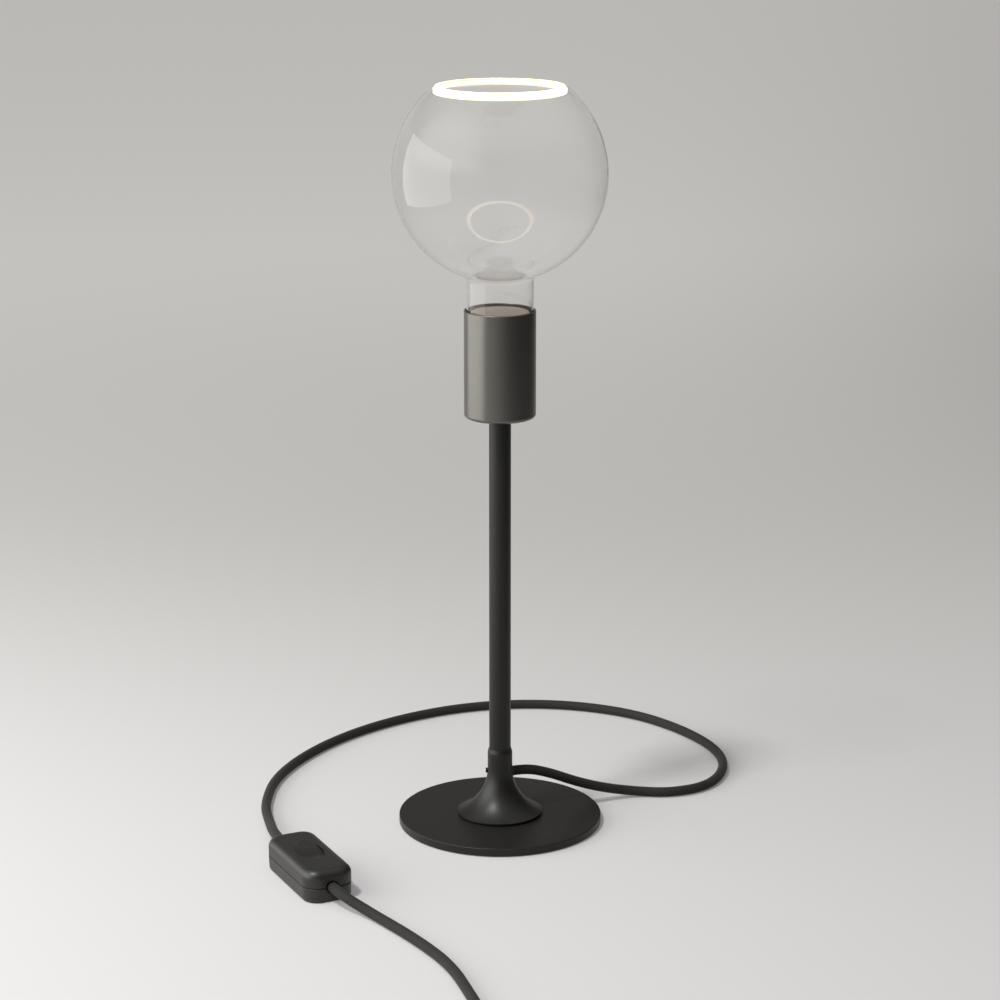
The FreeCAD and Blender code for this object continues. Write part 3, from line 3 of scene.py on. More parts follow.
import bmesh
import bpy
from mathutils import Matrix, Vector


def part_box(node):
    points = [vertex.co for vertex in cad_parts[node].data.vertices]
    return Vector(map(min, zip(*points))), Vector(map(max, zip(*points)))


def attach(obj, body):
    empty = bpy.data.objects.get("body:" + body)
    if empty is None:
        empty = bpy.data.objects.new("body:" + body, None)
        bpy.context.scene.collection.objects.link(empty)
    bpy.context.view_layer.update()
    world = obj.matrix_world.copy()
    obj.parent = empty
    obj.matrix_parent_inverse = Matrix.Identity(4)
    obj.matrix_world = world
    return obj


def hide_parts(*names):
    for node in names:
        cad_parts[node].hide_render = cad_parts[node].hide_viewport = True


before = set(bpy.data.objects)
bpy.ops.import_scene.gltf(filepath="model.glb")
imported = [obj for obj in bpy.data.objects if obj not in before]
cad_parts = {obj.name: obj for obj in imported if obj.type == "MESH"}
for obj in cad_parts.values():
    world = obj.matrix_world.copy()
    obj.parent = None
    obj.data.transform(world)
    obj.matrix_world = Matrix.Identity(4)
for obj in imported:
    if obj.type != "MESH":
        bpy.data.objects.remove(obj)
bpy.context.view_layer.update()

# ---------------------------------------------------------------- camera
# A long lens at arm's height in front of the lamp, tipped a little down. The
# small shift keeps the foot and the bulb in the picture without more tilt.
CAMERA_PLACE = (0.0, -1.667, 0.6425)
CAMERA_PITCH = math.radians(12.88)
CAMERA_SHIFT = -0.1
CAMERA_REACH = 200.0
LENS = 104.9
SENSOR = 36.0
camera_data = bpy.data.cameras.new("camera")
camera_data.lens = LENS
camera_data.sensor_width = SENSOR
camera_data.shift_y = CAMERA_SHIFT
camera_data.clip_end = CAMERA_REACH
camera = bpy.data.objects.new("camera", camera_data)
camera.location = CAMERA_PLACE
camera.rotation_euler = (math.pi / 2 - CAMERA_PITCH, 0.0, 0.0)
bpy.context.collection.objects.link(camera)
bpy.context.scene.camera = camera
bpy.context.scene.view_settings.view_transform = "Standard"

# ---------------------------------------------------------------- lamp cord
# A round two-core flex in a dark textile braid. It leaves the collar level,
# comes down behind the foot and lies in one wide loop round to the switch.
CORD_D = 0.006
CORD_SIDES = 40
CORD_STEP = 0.0008
CARRIERS = 13
STITCH = 0.0024
STITCH_RELIEF = 0.00011
YARN_PAINTED_SHADE = (0.007, 0.0067, 0.006)
YARN_LIGHT = (0.03, 0.0289, 0.0259)
EXIT_AZIMUTH = math.radians(27.0)
EXIT_Z = 0.0302
EXIT_START = 0.0065
EXIT_RUN = 0.0175
SWITCH_PLACE = Vector((-0.1092, -0.0974, 0.009))
SWITCH_TURN = math.radians(-64.2)
SWITCH_WAY = Vector((math.cos(SWITCH_TURN), math.sin(SWITCH_TURN), 0.0))
JACKET_END = 0.024
RUN_TO_SWITCH = 0.0538
LAMP_SIDE_ROUTE = [
    (0.0295, 0.0154, 0.0249), (0.0475, 0.0242, 0.0154), (0.0650, 0.0330, 0.0082),
    (0.0835, 0.0414, 0.0030), (0.1060, 0.0385, 0.0030), (0.1305, 0.0510, 0.0030),
    (0.1430, 0.0820, 0.0030), (0.1405, 0.1175, 0.0030), (0.1200, 0.1565, 0.0030),
    (0.0865, 0.1910, 0.0030), (0.0360, 0.2095, 0.0030), (-0.0195, 0.2045, 0.0030),
    (-0.0720, 0.1745, 0.0030), (-0.1140, 0.1280, 0.0030), (-0.1405, 0.0710, 0.0030),
    (-0.1445, 0.0185, 0.0030), (-0.1385, -0.0150, 0.0036),
]


def route_curve(name, points):
    """One open smooth spline with the route's points as its control points."""
    curve = bpy.data.curves.new(name, "CURVE")
    curve.dimensions = "3D"
    curve.resolution_u = 24
    spline = curve.splines.new("NURBS")
    spline.points.add(len(points) - 1)
    for point, place in zip(spline.points, points):
        point.co = (*place, 1.0)
    spline.order_u = 3
    spline.use_endpoint_u = True
    route = bpy.data.objects.new(name, curve)
    bpy.context.collection.objects.link(route)
    return route


def math_node(tree, operation, *values):
    """A Math node with numbers or sockets on its inputs; returns its output."""
    node = tree.nodes.new("ShaderNodeMath")
    node.operation = operation
    for socket, value in zip(node.inputs, values):
        if isinstance(value, (int, float)):
            socket.default_value = value
        else:
            tree.links.new(value, socket)
    return node.outputs[0]


def braid_tree(material):
    """Jacket along a curve, with a braided sleeve's round-topped stitches as relief."""
    tree = bpy.data.node_groups.new("braided_jacket", "GeometryNodeTree")
    face = tree.interface
    face.new_socket("Geometry", in_out="INPUT", socket_type="NodeSocketGeometry")
    sizes = {
        "Diameter": CORD_D, "Step": CORD_STEP, "Carriers": float(CARRIERS), "Stitch": STITCH,
        "Relief": STITCH_RELIEF,
    }
    for label, value in sizes.items():
        socket = face.new_socket(label, in_out="INPUT", socket_type="NodeSocketFloat")
        socket.default_value = value
    sides = face.new_socket("Sides", in_out="INPUT", socket_type="NodeSocketInt")
    sides.default_value = CORD_SIDES
    face.new_socket("Geometry", in_out="OUTPUT", socket_type="NodeSocketGeometry")
    new, link = tree.nodes.new, tree.links.new
    given = new("NodeGroupInput")
    result = new("NodeGroupOutput")

    resample = new("GeometryNodeResampleCurve")
    resample.mode = "LENGTH"
    link(given.outputs["Geometry"], resample.inputs["Curve"])
    link(given.outputs["Step"], resample.inputs["Length"])
    run = new("GeometryNodeStoreNamedAttribute")
    run.inputs["Name"].default_value = "run"
    link(resample.outputs[0], run.inputs["Geometry"])
    link(new("GeometryNodeSplineParameter").outputs["Length"], run.inputs["Value"])

    circle = new("GeometryNodeCurvePrimitiveCircle")
    link(given.outputs["Sides"], circle.inputs["Resolution"])
    link(math_node(tree, "MULTIPLY", given.outputs["Diameter"], 0.5), circle.inputs["Radius"])
    turn = new("GeometryNodeStoreNamedAttribute")
    turn.inputs["Name"].default_value = "turn"
    link(circle.outputs["Curve"], turn.inputs["Geometry"])
    link(new("GeometryNodeSplineParameter").outputs["Factor"], turn.inputs["Value"])

    sweep = new("GeometryNodeCurveToMesh")
    sweep.inputs["Fill Caps"].default_value = True
    link(run.outputs[0], sweep.inputs["Curve"])
    link(turn.outputs[0], sweep.inputs["Profile Curve"])

    along = new("GeometryNodeInputNamedAttribute")
    along.inputs["Name"].default_value = "run"
    around = new("GeometryNodeInputNamedAttribute")
    around.inputs["Name"].default_value = "turn"
    lanes = math_node(tree, "MULTIPLY", around.outputs[0], given.outputs["Carriers"])
    rows = math_node(tree, "DIVIDE", along.outputs[0], given.outputs["Stitch"])
    one_way = math_node(tree, "MULTIPLY", math_node(tree, "ADD", lanes, rows), 2 * math.pi)
    other_way = math_node(tree, "MULTIPLY", math_node(tree, "SUBTRACT", lanes, rows), 2 * math.pi)
    waves = math_node(tree, "ADD", math_node(tree, "COSINE", one_way),
                      math_node(tree, "COSINE", other_way))
    weave_and_painted_shade = math_node(tree, "MULTIPLY_ADD", waves, 0.25, 0.5)

    # The stitch pattern shapes the relief and also carries the braid's painted shade and highlight.
    keep = new("GeometryNodeStoreNamedAttribute")
    keep.inputs["Name"].default_value = "weave_and_painted_shade"
    link(sweep.outputs[0], keep.inputs["Geometry"])
    link(weave_and_painted_shade, keep.inputs["Value"])
    dip = math_node(tree, "SUBTRACT", weave_and_painted_shade, 1.0)
    relief = math_node(tree, "MULTIPLY", dip, given.outputs["Relief"])
    push = new("ShaderNodeVectorMath")
    push.operation = "SCALE"
    link(new("GeometryNodeInputNormal").outputs[0], push.inputs[0])
    link(relief, push.inputs["Scale"])
    lift = new("GeometryNodeSetPosition")
    link(keep.outputs[0], lift.inputs["Geometry"])
    link(push.outputs[0], lift.inputs["Offset"])

    smooth = new("GeometryNodeSetShadeSmooth")
    link(lift.outputs[0], smooth.inputs["Geometry"])
    paint = new("GeometryNodeSetMaterial")
    paint.inputs["Material"].default_value = material
    link(smooth.outputs[0], paint.inputs["Geometry"])
    real = new("GeometryNodeRealizeInstances")
    link(paint.outputs[0], real.inputs[0])
    link(real.outputs[0], result.inputs[0])
    return tree


def principled(name, color, roughness, metallic=0.0):
    """A new material with plain values; returns it with its tree and its shader."""
    material = bpy.data.materials.new(name)
    material.use_nodes = True
    shader = material.node_tree.nodes["Principled BSDF"]
    shader.inputs["Base Color"].default_value = (*color, 1.0)
    shader.inputs["Roughness"].default_value = roughness
    shader.inputs["Metallic"].default_value = metallic
    return material, material.node_tree, shader


def object_noise(tree, scale, detail=2.0):
    """Noise that is fixed to the piece, with its scale in features per metre."""
    place = tree.nodes.new("ShaderNodeTexCoord").outputs["Object"]
    noise = tree.nodes.new("ShaderNodeTexNoise")
    noise.inputs["Scale"].default_value = scale
    noise.inputs["Detail"].default_value = detail
    tree.links.new(place, noise.inputs["Vector"])
    return noise.outputs["Fac"]


def between(tree, factor, low, high):
    """A colour that goes from low to high as factor goes from 0 to 1."""
    mix = tree.nodes.new("ShaderNodeMix")
    mix.data_type = "RGBA"
    tree.links.new(factor, mix.inputs["Factor"])
    mix.inputs["A"].default_value = (*low, 1.0)
    mix.inputs["B"].default_value = (*high, 1.0)
    return mix.outputs["Result"]


def value_between(tree, factor, low, high):
    """A number that goes from low to high as factor goes from 0 to 1."""
    ramp = tree.nodes.new("ShaderNodeMapRange")
    ramp.inputs["To Min"].default_value = low
    ramp.inputs["To Max"].default_value = high
    tree.links.new(factor, ramp.inputs["Value"])
    return ramp.outputs["Result"]


def bump(tree, shader, height, depth, strength=1.0):
    """Relief too fine for the mesh: depth is its height in metres."""
    node = tree.nodes.new("ShaderNodeBump")
    node.inputs["Distance"].default_value = depth
    node.inputs["Strength"].default_value = strength
    tree.links.new(height, node.inputs["Height"])
    tree.links.new(node.outputs["Normal"], shader.inputs["Normal"])


def textile_braid():
    """Black polyester braid: the yarn tops are painted lighter as a highlight, the crossings
    between them painted darker as shade.
    """
    material, tree, shader = principled("textile_braid", YARN_LIGHT, 0.8)
    weave_and_painted_shade = tree.nodes.new("ShaderNodeAttribute")
    weave_and_painted_shade.attribute_name = "weave_and_painted_shade"
    yarn = object_noise(tree, 2600.0, 3.0)
    # Painted light: the crossings are painted dark as shade and the yarn tops light as a highlight.
    lit = math_node(tree, "MULTIPLY", weave_and_painted_shade.outputs["Fac"], value_between(tree, yarn, 0.6, 1.3))
    tree.links.new(between(tree, lit, YARN_PAINTED_SHADE, YARN_LIGHT), shader.inputs["Base Color"])
    shader.inputs["Sheen Weight"].default_value = 0.08
    shader.inputs["Sheen Roughness"].default_value = 0.4
    shader.inputs["Specular IOR Level"].default_value = 0.25
    bump(tree, shader, yarn, 0.00006)
    return material


def plain_mesh(thing):
    """What an object looks like with its modifiers, as a plain mesh."""
    depsgraph = bpy.context.evaluated_depsgraph_get()
    return bpy.data.meshes.new_from_object(thing.evaluated_get(depsgraph))


def jacketed(name, points, tree, nodes):
    """The finished cord as a plain mesh, and the points of the smooth line that it follows."""
    route = route_curve(name + "_route", points)
    bare = plain_mesh(route)
    line = [vertex.co.copy() for vertex in bare.vertices]
    bpy.data.meshes.remove(bare)
    modifier = route.modifiers.new("braid", "NODES")
    modifier.node_group = tree
    mesh = plain_mesh(route)
    bpy.data.objects.remove(route)
    cord = bpy.data.objects.new(name, mesh)
    bpy.context.collection.objects.link(cord)
    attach(cord, "lamp")
    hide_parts(*nodes)
    return cord, line


braid_material = textile_braid()
braid_nodes = braid_tree(braid_material)
exit_way = Vector((math.cos(EXIT_AZIMUTH), math.sin(EXIT_AZIMUTH), 0.0))
exit_height = Vector((0.0, 0.0, EXIT_Z))
lamp_side_points = [exit_way * EXIT_START + exit_height, exit_way * EXIT_RUN + exit_height]
lamp_side_points += [Vector(place) for place in LAMP_SIDE_ROUTE]
lamp_side_points += [SWITCH_PLACE - SWITCH_WAY * run for run in (RUN_TO_SWITCH, JACKET_END)]
lamp_cord, lamp_line = jacketed("lamp_cord", lamp_side_points, braid_nodes, ["cord_lamp_side"])

# ---------------------------------------------------------------- coil tie
# A hook-and-loop strap round the coiled spare cord, wrapped once with its free
# end laid over its beginning.
COIL_CENTRE = Vector((0.036, -0.333, 0.0))
COIL_TURNS = 3.25
COIL_OUT_R = 0.0394
COIL_PITCH = 0.0066
COIL_LAYER = 0.0065
COIL_LOW_Z = 0.0039
TIE_AT = 0.625
TIE_WIDTH = 0.007
TIE_THICK = 0.0006
TIE_SINK = 0.25 * TIE_THICK
TIE_CORNER = 0.0028
TIE_START = math.radians(-120)
TIE_STEPS = 72
TIE_OVERLAP = 14
BUNDLE_HALF = 0.00745
FUZZ_DARK = (0.006, 0.006, 0.006)
FUZZ_LIGHT = (0.05, 0.05, 0.052)


def finished(name, mesh):
    """The built mesh as an object, not yet linked."""
    data = bpy.data.meshes.new(name)
    mesh.to_mesh(data)
    mesh.free()
    return bpy.data.objects.new(name, data)


def strap():
    """Strap section swept round the bundle as a spiral of a little over one turn."""
    low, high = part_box("coil_tie")
    turn = math.pi + 2 * math.pi * TIE_AT
    out = Vector((math.cos(turn), math.sin(turn), 0.0))
    side = Vector((-math.sin(turn), math.cos(turn), 0.0)) * TIE_WIDTH / 2
    middle_r = COIL_OUT_R - COIL_PITCH * (TIE_AT + 0.5)
    half_h = (high[2] - low[2]) / 2
    reach_x = BUNDLE_HALF - TIE_THICK - TIE_CORNER
    reach_z = half_h - TIE_THICK - TIE_CORNER
    mesh = bmesh.new()
    rings = []
    for k in range(TIE_STEPS + TIE_OVERLAP + 1):
        angle = 2 * math.pi * k / TIE_STEPS + TIE_START
        c, s = math.cos(angle), math.sin(angle)
        square = 1.0 / max(abs(c), abs(s))
        x = max(-reach_x, min(reach_x, square * c * reach_x)) + TIE_CORNER * c
        z = max(-reach_z, min(reach_z, square * s * reach_z)) + TIE_CORNER * s
        base = COIL_CENTRE + out * (middle_r + x) + Vector((0, 0, half_h + z))
        normal = out * c + Vector((0, 0, s))
        sink = TIE_SINK if k < TIE_STEPS else 0.0
        outer, inner = base + normal * (TIE_THICK - sink), base - normal * sink
        corners = (outer + side, outer - side, inner - side, inner + side)
        rings.append([mesh.verts.new(corner) for corner in corners])
    for near, far in zip(rings, rings[1:]):
        for k in range(4):
            mesh.faces.new((near[k], near[(k + 1) % 4], far[(k + 1) % 4], far[k]))
    mesh.faces.new(reversed(rings[0]))
    mesh.faces.new(rings[-1])
    bmesh.ops.recalc_face_normals(mesh, faces=mesh.faces)
    return finished("coil_strap", mesh)


def place_piece(piece, body, slot, material, *nodes):
    """Link a finished piece, give it its material, and let it stand for its CAD nodes."""
    if piece.name not in bpy.context.collection.objects:
        bpy.context.collection.objects.link(piece)
    piece.data.materials.clear()
    piece.data.materials.append(material)
    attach(piece, body)
    if nodes:
        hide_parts(*nodes)
    return piece


def hook_and_loop():
    """Black strap whose loops stand up as a fine fuzz."""
    material, tree, shader = principled("hook_and_loop", FUZZ_LIGHT, 0.9)
    fuzz = object_noise(tree, 2200.0, 4.0)
    tree.links.new(between(tree, fuzz, FUZZ_DARK, FUZZ_LIGHT), shader.inputs["Base Color"])
    shader.inputs["Sheen Weight"].default_value = 0.4
    bump(tree, shader, fuzz, 0.0003)
    return material


coil_strap = place_piece(strap(), "lamp", "black_fabric", hook_and_loop(), "coil_tie")

# ---------------------------------------------------------------- plug cord
# The rest of the flex: out of the switch, forward and past the picture's edge,
# wound into a coil of two layers, and on into the plug's relief.
RUN_FROM_SWITCH = 0.0438
RUN_TO_COIL = 0.026
RUN_FROM_COIL = 0.016
PLUG_PLACE = Vector((0.078, -0.3716, 0.00685))
PLUG_TURN = math.radians(5.0)
PLUG_WAY = Vector((math.cos(PLUG_TURN), math.sin(PLUG_TURN), 0.0))
RUN_TO_PLUG = 0.004
RELIEF_BORE = 0.016
POINTS_PER_TURN = 16
PLUG_SIDE_ROUTE = [
    (-0.0725, -0.1495, 0.0030), (-0.0455, -0.1870, 0.0030), (-0.0260, -0.2210, 0.0030),
    (-0.0148, -0.2600, 0.0030),
]


def coil_point(turns):
    """Axis point of the coil after a number of turns: in, up a layer, and out again."""
    angle = math.pi + 2 * math.pi * turns
    half = COIL_TURNS / 2
    radius = COIL_OUT_R - COIL_PITCH * min(turns, COIL_TURNS - turns)
    share = min(max((turns - half) / 0.5 + 0.5, 0.0), 1.0)
    height = COIL_LOW_Z + COIL_LAYER * (1 - math.cos(math.pi * share)) / 2
    out = Vector((math.cos(angle), math.sin(angle), 0))
    return COIL_CENTRE + out * radius + Vector((0, 0, height))


def coil_way(turns):
    """Direction in which the cord runs there."""
    step = 0.001
    ahead, behind = min(turns + step, COIL_TURNS), max(turns - step, 0.0)
    return (coil_point(ahead) - coil_point(behind)).normalized()


def wound_points():
    """Control points of the coil, pushed out so that the smooth line has the coil's radius."""
    count = round(COIL_TURNS * POINTS_PER_TURN)
    corner_r = 1.0 / math.cos(math.pi / POINTS_PER_TURN) ** 2
    push = (1 + corner_r) / 2 - 1
    points = []
    for k in range(count + 1):
        point = coil_point(COIL_TURNS * k / count)
        flat = Vector((point.x - COIL_CENTRE.x, point.y - COIL_CENTRE.y, 0.0))
        points.append(point + flat * push)
    return points


coil_in, coil_out = coil_point(0.0), coil_point(COIL_TURNS)
way_in, way_out = coil_way(0.0), coil_way(COIL_TURNS)
plug_side_points = [SWITCH_PLACE + SWITCH_WAY * run for run in (JACKET_END, RUN_FROM_SWITCH)]
plug_side_points += [Vector(place) for place in PLUG_SIDE_ROUTE]
plug_side_points += [coil_in - way_in * (CORD_D + RUN_TO_COIL), coil_in - way_in * CORD_D]
plug_side_points += wound_points()
plug_side_points += [coil_out + way_out * CORD_D, coil_out + way_out * (CORD_D + RUN_FROM_COIL)]
plug_side_points += [PLUG_PLACE - PLUG_WAY * RUN_TO_PLUG, PLUG_PLACE + PLUG_WAY * RELIEF_BORE]
plug_cord, plug_line = jacketed(
    "plug_cord", plug_side_points, braid_nodes, ["cord_plug_side", "cord_coil", "cord_plug_lead"]
)

# ---------------------------------------------------------------- foot and stem
# Steel plate, turned bell and drawn tube, all in the same dark matte powder
# coat, which has a very fine orange peel.
COAT_DARK = (0.0075, 0.0072, 0.006)
COAT_LIGHT = (0.0108, 0.0104, 0.0086)


def powder_coat():
    """Dry powder coat: tiny grains, a slight cloudiness in colour and gloss."""
    material, tree, shader = principled("powder_coat", COAT_DARK, 0.4)
    peel = object_noise(tree, 1500.0, 2.0)
    drift = object_noise(tree, 14.0, 3.0)
    tree.links.new(between(tree, drift, COAT_DARK, COAT_LIGHT), shader.inputs["Base Color"])
    tree.links.new(value_between(tree, drift, 0.36, 0.44), shader.inputs["Roughness"])
    shader.inputs["Specular IOR Level"].default_value = 0.33
    bump(tree, shader, peel, 0.00005, 0.6)
    return material


def finish_node(material, *nodes):
    """A CAD node keeps its shape and gets the finish of the real piece."""
    for name in nodes:
        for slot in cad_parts[name].material_slots:
            slot.material = material


finish_node(powder_coat(), "base_plate", "base_bell", "stem_tube")

# ---------------------------------------------------------------- felt under the foot
# A disc of black needled felt, glued into the plate's bed, with a soft edge.
FELT_EDGE = 0.0003
FELT_DARK = (0.006, 0.006, 0.006)
FELT_LIGHT = (0.035, 0.035, 0.036)
ROUND_STEPS = 128


def turned(name, profile):
    """A closed profile of radii and heights, turned round the stem's axis."""
    mesh = bmesh.new()
    verts = [mesh.verts.new((r, 0.0, z)) for r, z in profile]
    edges = [mesh.edges.new(pair) for pair in zip(verts, verts[1:])]
    bmesh.ops.spin(mesh, geom=verts + edges, axis=(0, 0, 1), cent=(0, 0, 0), angle=2 * math.pi,
                   steps=ROUND_STEPS, use_duplicate=False)
    bmesh.ops.remove_doubles(mesh, verts=mesh.verts, dist=1e-6)
    bmesh.ops.recalc_face_normals(mesh, faces=mesh.faces)
    return finished(name, mesh)


def felt_disc():
    """The disc's underside is flat and its lower edge is worn round."""
    low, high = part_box("base_pad")
    radius, thick = (high[0] - low[0]) / 2, high[2] - low[2]
    profile = [
        (0.0, 0.0), (radius * 0.5, 0.0), (radius - 2 * FELT_EDGE, 0.0),
        (radius - FELT_EDGE * 0.5, FELT_EDGE * 0.4), (radius, FELT_EDGE * 1.5), (radius, thick),
        (0.0, thick),
    ]
    return turned("felt_foot", [(r, low[2] + z) for r, z in profile])


def needled_felt():
    """Loose fibres, all black but not equally, with no shine."""
    material, tree, shader = principled("needled_felt", FELT_LIGHT, 1.0)
    fibre = object_noise(tree, 900.0, 6.0)
    tree.links.new(between(tree, fibre, FELT_DARK, FELT_LIGHT), shader.inputs["Base Color"])
    shader.inputs["Sheen Weight"].default_value = 0.5
    bump(tree, shader, fibre, 0.0004)
    return material


place_piece(felt_disc(), "lamp", "felt", needled_felt(), "base_pad")

# ---------------------------------------------------------------- small steel parts
# The nipples, nut, washer and screws are zinc-plated steel; the screw in the
# collar is blackened.
ZINC = (0.6, 0.6, 0.57)
OXIDE = (0.03, 0.03, 0.03)


def plated_steel(name, color, roughness):
    """Plated metal whose gloss is broken by fine handling marks."""
    material, tree, shader = principled(name, color, roughness, 1.0)
    marks = object_noise(tree, 800.0, 4.0)
    tree.links.new(value_between(tree, marks, roughness - 0.08, roughness + 0.1),
                   shader.inputs["Roughness"])
    bump(tree, shader, marks, 0.00002)
    return material


zinc = plated_steel("zinc_plate", ZINC, 0.32)
finish_node(zinc, "lower_nipple", "upper_nipple", "nipple_nut", "nipple_washer", "holder_screws",
            "switch_screws", "cord_clamps")
finish_node(plated_steel("black_oxide", OXIDE, 0.38), "grub_screw")

# ---------------------------------------------------------------- cup
# Deep-drawn cup in a satin graphite finish, smoother than the powder coat, so
# its left side is lit in a broad soft band and its right side goes dark.
GRAPHITE_DARK = (0.132, 0.127, 0.116)
GRAPHITE_LIGHT = (0.16, 0.155, 0.142)


def satin_graphite():
    """Blasted and plated metal: a fine even grain that spreads the light."""
    material, tree, shader = principled("satin_graphite", GRAPHITE_DARK, 0.3, 0.95)
    fine = object_noise(tree, 1200.0, 2.0)
    cloud = object_noise(tree, 30.0, 3.0)
    tree.links.new(between(tree, cloud, GRAPHITE_DARK, GRAPHITE_LIGHT),
                   shader.inputs["Base Color"])
    tree.links.new(value_between(tree, fine, 0.26, 0.34), shader.inputs["Roughness"])
    bump(tree, shader, fine, 0.00003, 0.5)
    return material


finish_node(satin_graphite(), "lampholder_cup")

# ---------------------------------------------------------------- lampholder
# Black moulded cap and shell with a glazed ceramic block between them, brass
# contacts and terminals, and the two cores of the flex.
HOLDER_BLACK = (0.018, 0.018, 0.018)
CERAMIC = (0.68, 0.66, 0.6)
BRASS_DARK = (0.62, 0.43, 0.18)
BRASS_LIGHT = (0.82, 0.63, 0.31)
CORE_BLUE = (0.05, 0.09, 0.28)


def moulded(name, color, roughness, grain_depth=0.00004, grain_scale=1800.0):
    """Moulded plastic or glaze with the fine grain of its tool."""
    material, tree, shader = principled(name, color, roughness)
    grain = object_noise(tree, grain_scale, 3.0)
    lighter = tuple(min(1.0, part * 1.25) for part in color)
    tree.links.new(between(tree, grain, color, lighter), shader.inputs["Base Color"])
    bump(tree, shader, grain, grain_depth, 0.8)
    return material


def stamped_brass():
    """Strip brass, a little stained by handling."""
    material, tree, shader = principled("stamped_brass", BRASS_LIGHT, 0.3, 1.0)
    stain = object_noise(tree, 260.0, 4.0)
    tree.links.new(between(tree, stain, BRASS_DARK, BRASS_LIGHT), shader.inputs["Base Color"])
    tree.links.new(value_between(tree, stain, 0.22, 0.4), shader.inputs["Roughness"])
    return material


finish_node(moulded("holder_moulding", HOLDER_BLACK, 0.5), "holder_cap", "holder_shell")
finish_node(moulded("glazed_ceramic", CERAMIC, 0.25, 0.00002, 500.0), "holder_block")
finish_node(stamped_brass(), "centre_contact", "side_contact", "holder_terminals", "contact_bridge",
            "switch_contacts")
finish_node(moulded("core_insulation", CORE_BLUE, 0.45), "cord_cores", "switch_cores")
finish_node(braid_material, "stem_cord")

# ---------------------------------------------------------------- bulb glass
# Clear blown glass, thin and even, with a straight neck and a flat top. A faint
# painted glow, strongest near the top, stands in for the lit ring's light in the glass.
NECK_REACH = 0.05
GLASS_TINT = (0.997, 0.997, 0.996)
GLASS_CLEAR = (1.0, 1.0, 1.0)
GLASS_IOR = 1.4
PAINTED_GLOW_TONE = (1.0, 0.93, 0.87)
GLASS_PAINTED_GLOW = (0.002, 0.009)


def smooth_range(tree, value, low, high, to_low=0.0, to_high=1.0):
    """Smooth step of a value from low to high."""
    ramp = tree.nodes.new("ShaderNodeMapRange")
    ramp.interpolation_type = "SMOOTHSTEP"
    ramp.inputs["From Min"].default_value = low
    ramp.inputs["From Max"].default_value = high
    ramp.inputs["To Min"].default_value = to_low
    ramp.inputs["To Max"].default_value = to_high
    tree.links.new(value, ramp.inputs["Value"])
    return ramp.outputs["Result"]


def object_place(tree):
    """X, Y and Z of a point of the piece, by name."""
    split = tree.nodes.new("ShaderNodeSeparateXYZ")
    tree.links.new(tree.nodes.new("ShaderNodeTexCoord").outputs["Object"], split.inputs[0])
    return split.outputs


def blown_glass():
    """Clear glass whose surface keeps the very slight waves of blowing."""
    material, tree, shader = principled("blown_glass", GLASS_CLEAR, 0.0)
    shader.inputs["Transmission Weight"].default_value = 1.0
    shader.inputs["IOR"].default_value = GLASS_IOR
    waves = object_noise(tree, 26.0, 1.0)
    tree.links.new(between(tree, waves, GLASS_TINT, GLASS_CLEAR), shader.inputs["Base Color"])
    bump(tree, shader, waves, 0.0001, 0.5)
    low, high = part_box("bulb_glass")
    up = object_place(tree)["Z"]
    # Painted light: the glass itself emits faintly, more towards the top, in place of the ring's
    # light.
    shader.inputs["Emission Color"].default_value = (*PAINTED_GLOW_TONE, 1.0)
    tree.links.new(smooth_range(tree, up, low[2] + NECK_REACH, high[2], *GLASS_PAINTED_GLOW),
                   shader.inputs["Emission Strength"])
    return material


finish_node(blown_glass(), "bulb_glass")
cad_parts["bulb_glass"].visible_shadow = False

# ---------------------------------------------------------------- light ring
# A ring of light-emitting strip in clear silicone, warm white, lit.
RING_BAND = 0.0033
RING_CORE = 0.0016
RING_FADE = 0.0009
RING_GLOW = 3.4
RING_DIM_CORNER_GLOW_AND_SHADE = 0.8
RING_SILICONE = (0.9, 0.75, 0.5)
RING_WARM = (1.0, 0.93, 0.76)
RING_AMBER = (1.0, 0.6, 0.29)
FILM_TINT = (0.96, 0.95, 0.92)
FILM_IOR = 1.25


def lit_strip():
    """White-hot in the middle of the band's section, amber and dimmer in its silicone corners, the
    dimming partly painted shade that makes the flat section look round.
    """
    material, tree, shader = principled("lit_strip", RING_SILICONE, 0.45)
    low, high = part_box("led_ring")
    half_h = (high[2] - low[2]) / 2
    middle_r = (high[0] - low[0]) / 2 - RING_BAND / 2
    place = object_place(tree)
    flat = tree.nodes.new("ShaderNodeCombineXYZ")
    tree.links.new(place["X"], flat.inputs["X"])
    tree.links.new(place["Y"], flat.inputs["Y"])
    out = tree.nodes.new("ShaderNodeVectorMath")
    out.operation = "LENGTH"
    tree.links.new(flat.outputs[0], out.inputs[0])
    across = math_node(tree, "SUBTRACT", out.outputs["Value"], middle_r)
    up = math_node(tree, "SUBTRACT", place["Z"], low[2] + half_h)
    squares = [math_node(tree, "MULTIPLY", part, part) for part in (across, up)]
    off = math_node(tree, "SQRT", math_node(tree, "ADD", *squares))
    # Towards the corners: partly the silicone's amber, partly painted shade that gives the section
    # a rounded look.
    edge = smooth_range(tree, off, RING_CORE, RING_CORE + RING_FADE)
    tree.links.new(between(tree, edge, RING_WARM, RING_AMBER), shader.inputs["Emission Color"])
    chips = object_noise(tree, 420.0, 1.0)
    glow = math_node(tree, "MULTIPLY", value_between(tree, edge, RING_GLOW, RING_DIM_CORNER_GLOW_AND_SHADE),
                     value_between(tree, chips, 0.88, 1.12))
    tree.links.new(glow, shader.inputs["Emission Strength"])
    return material


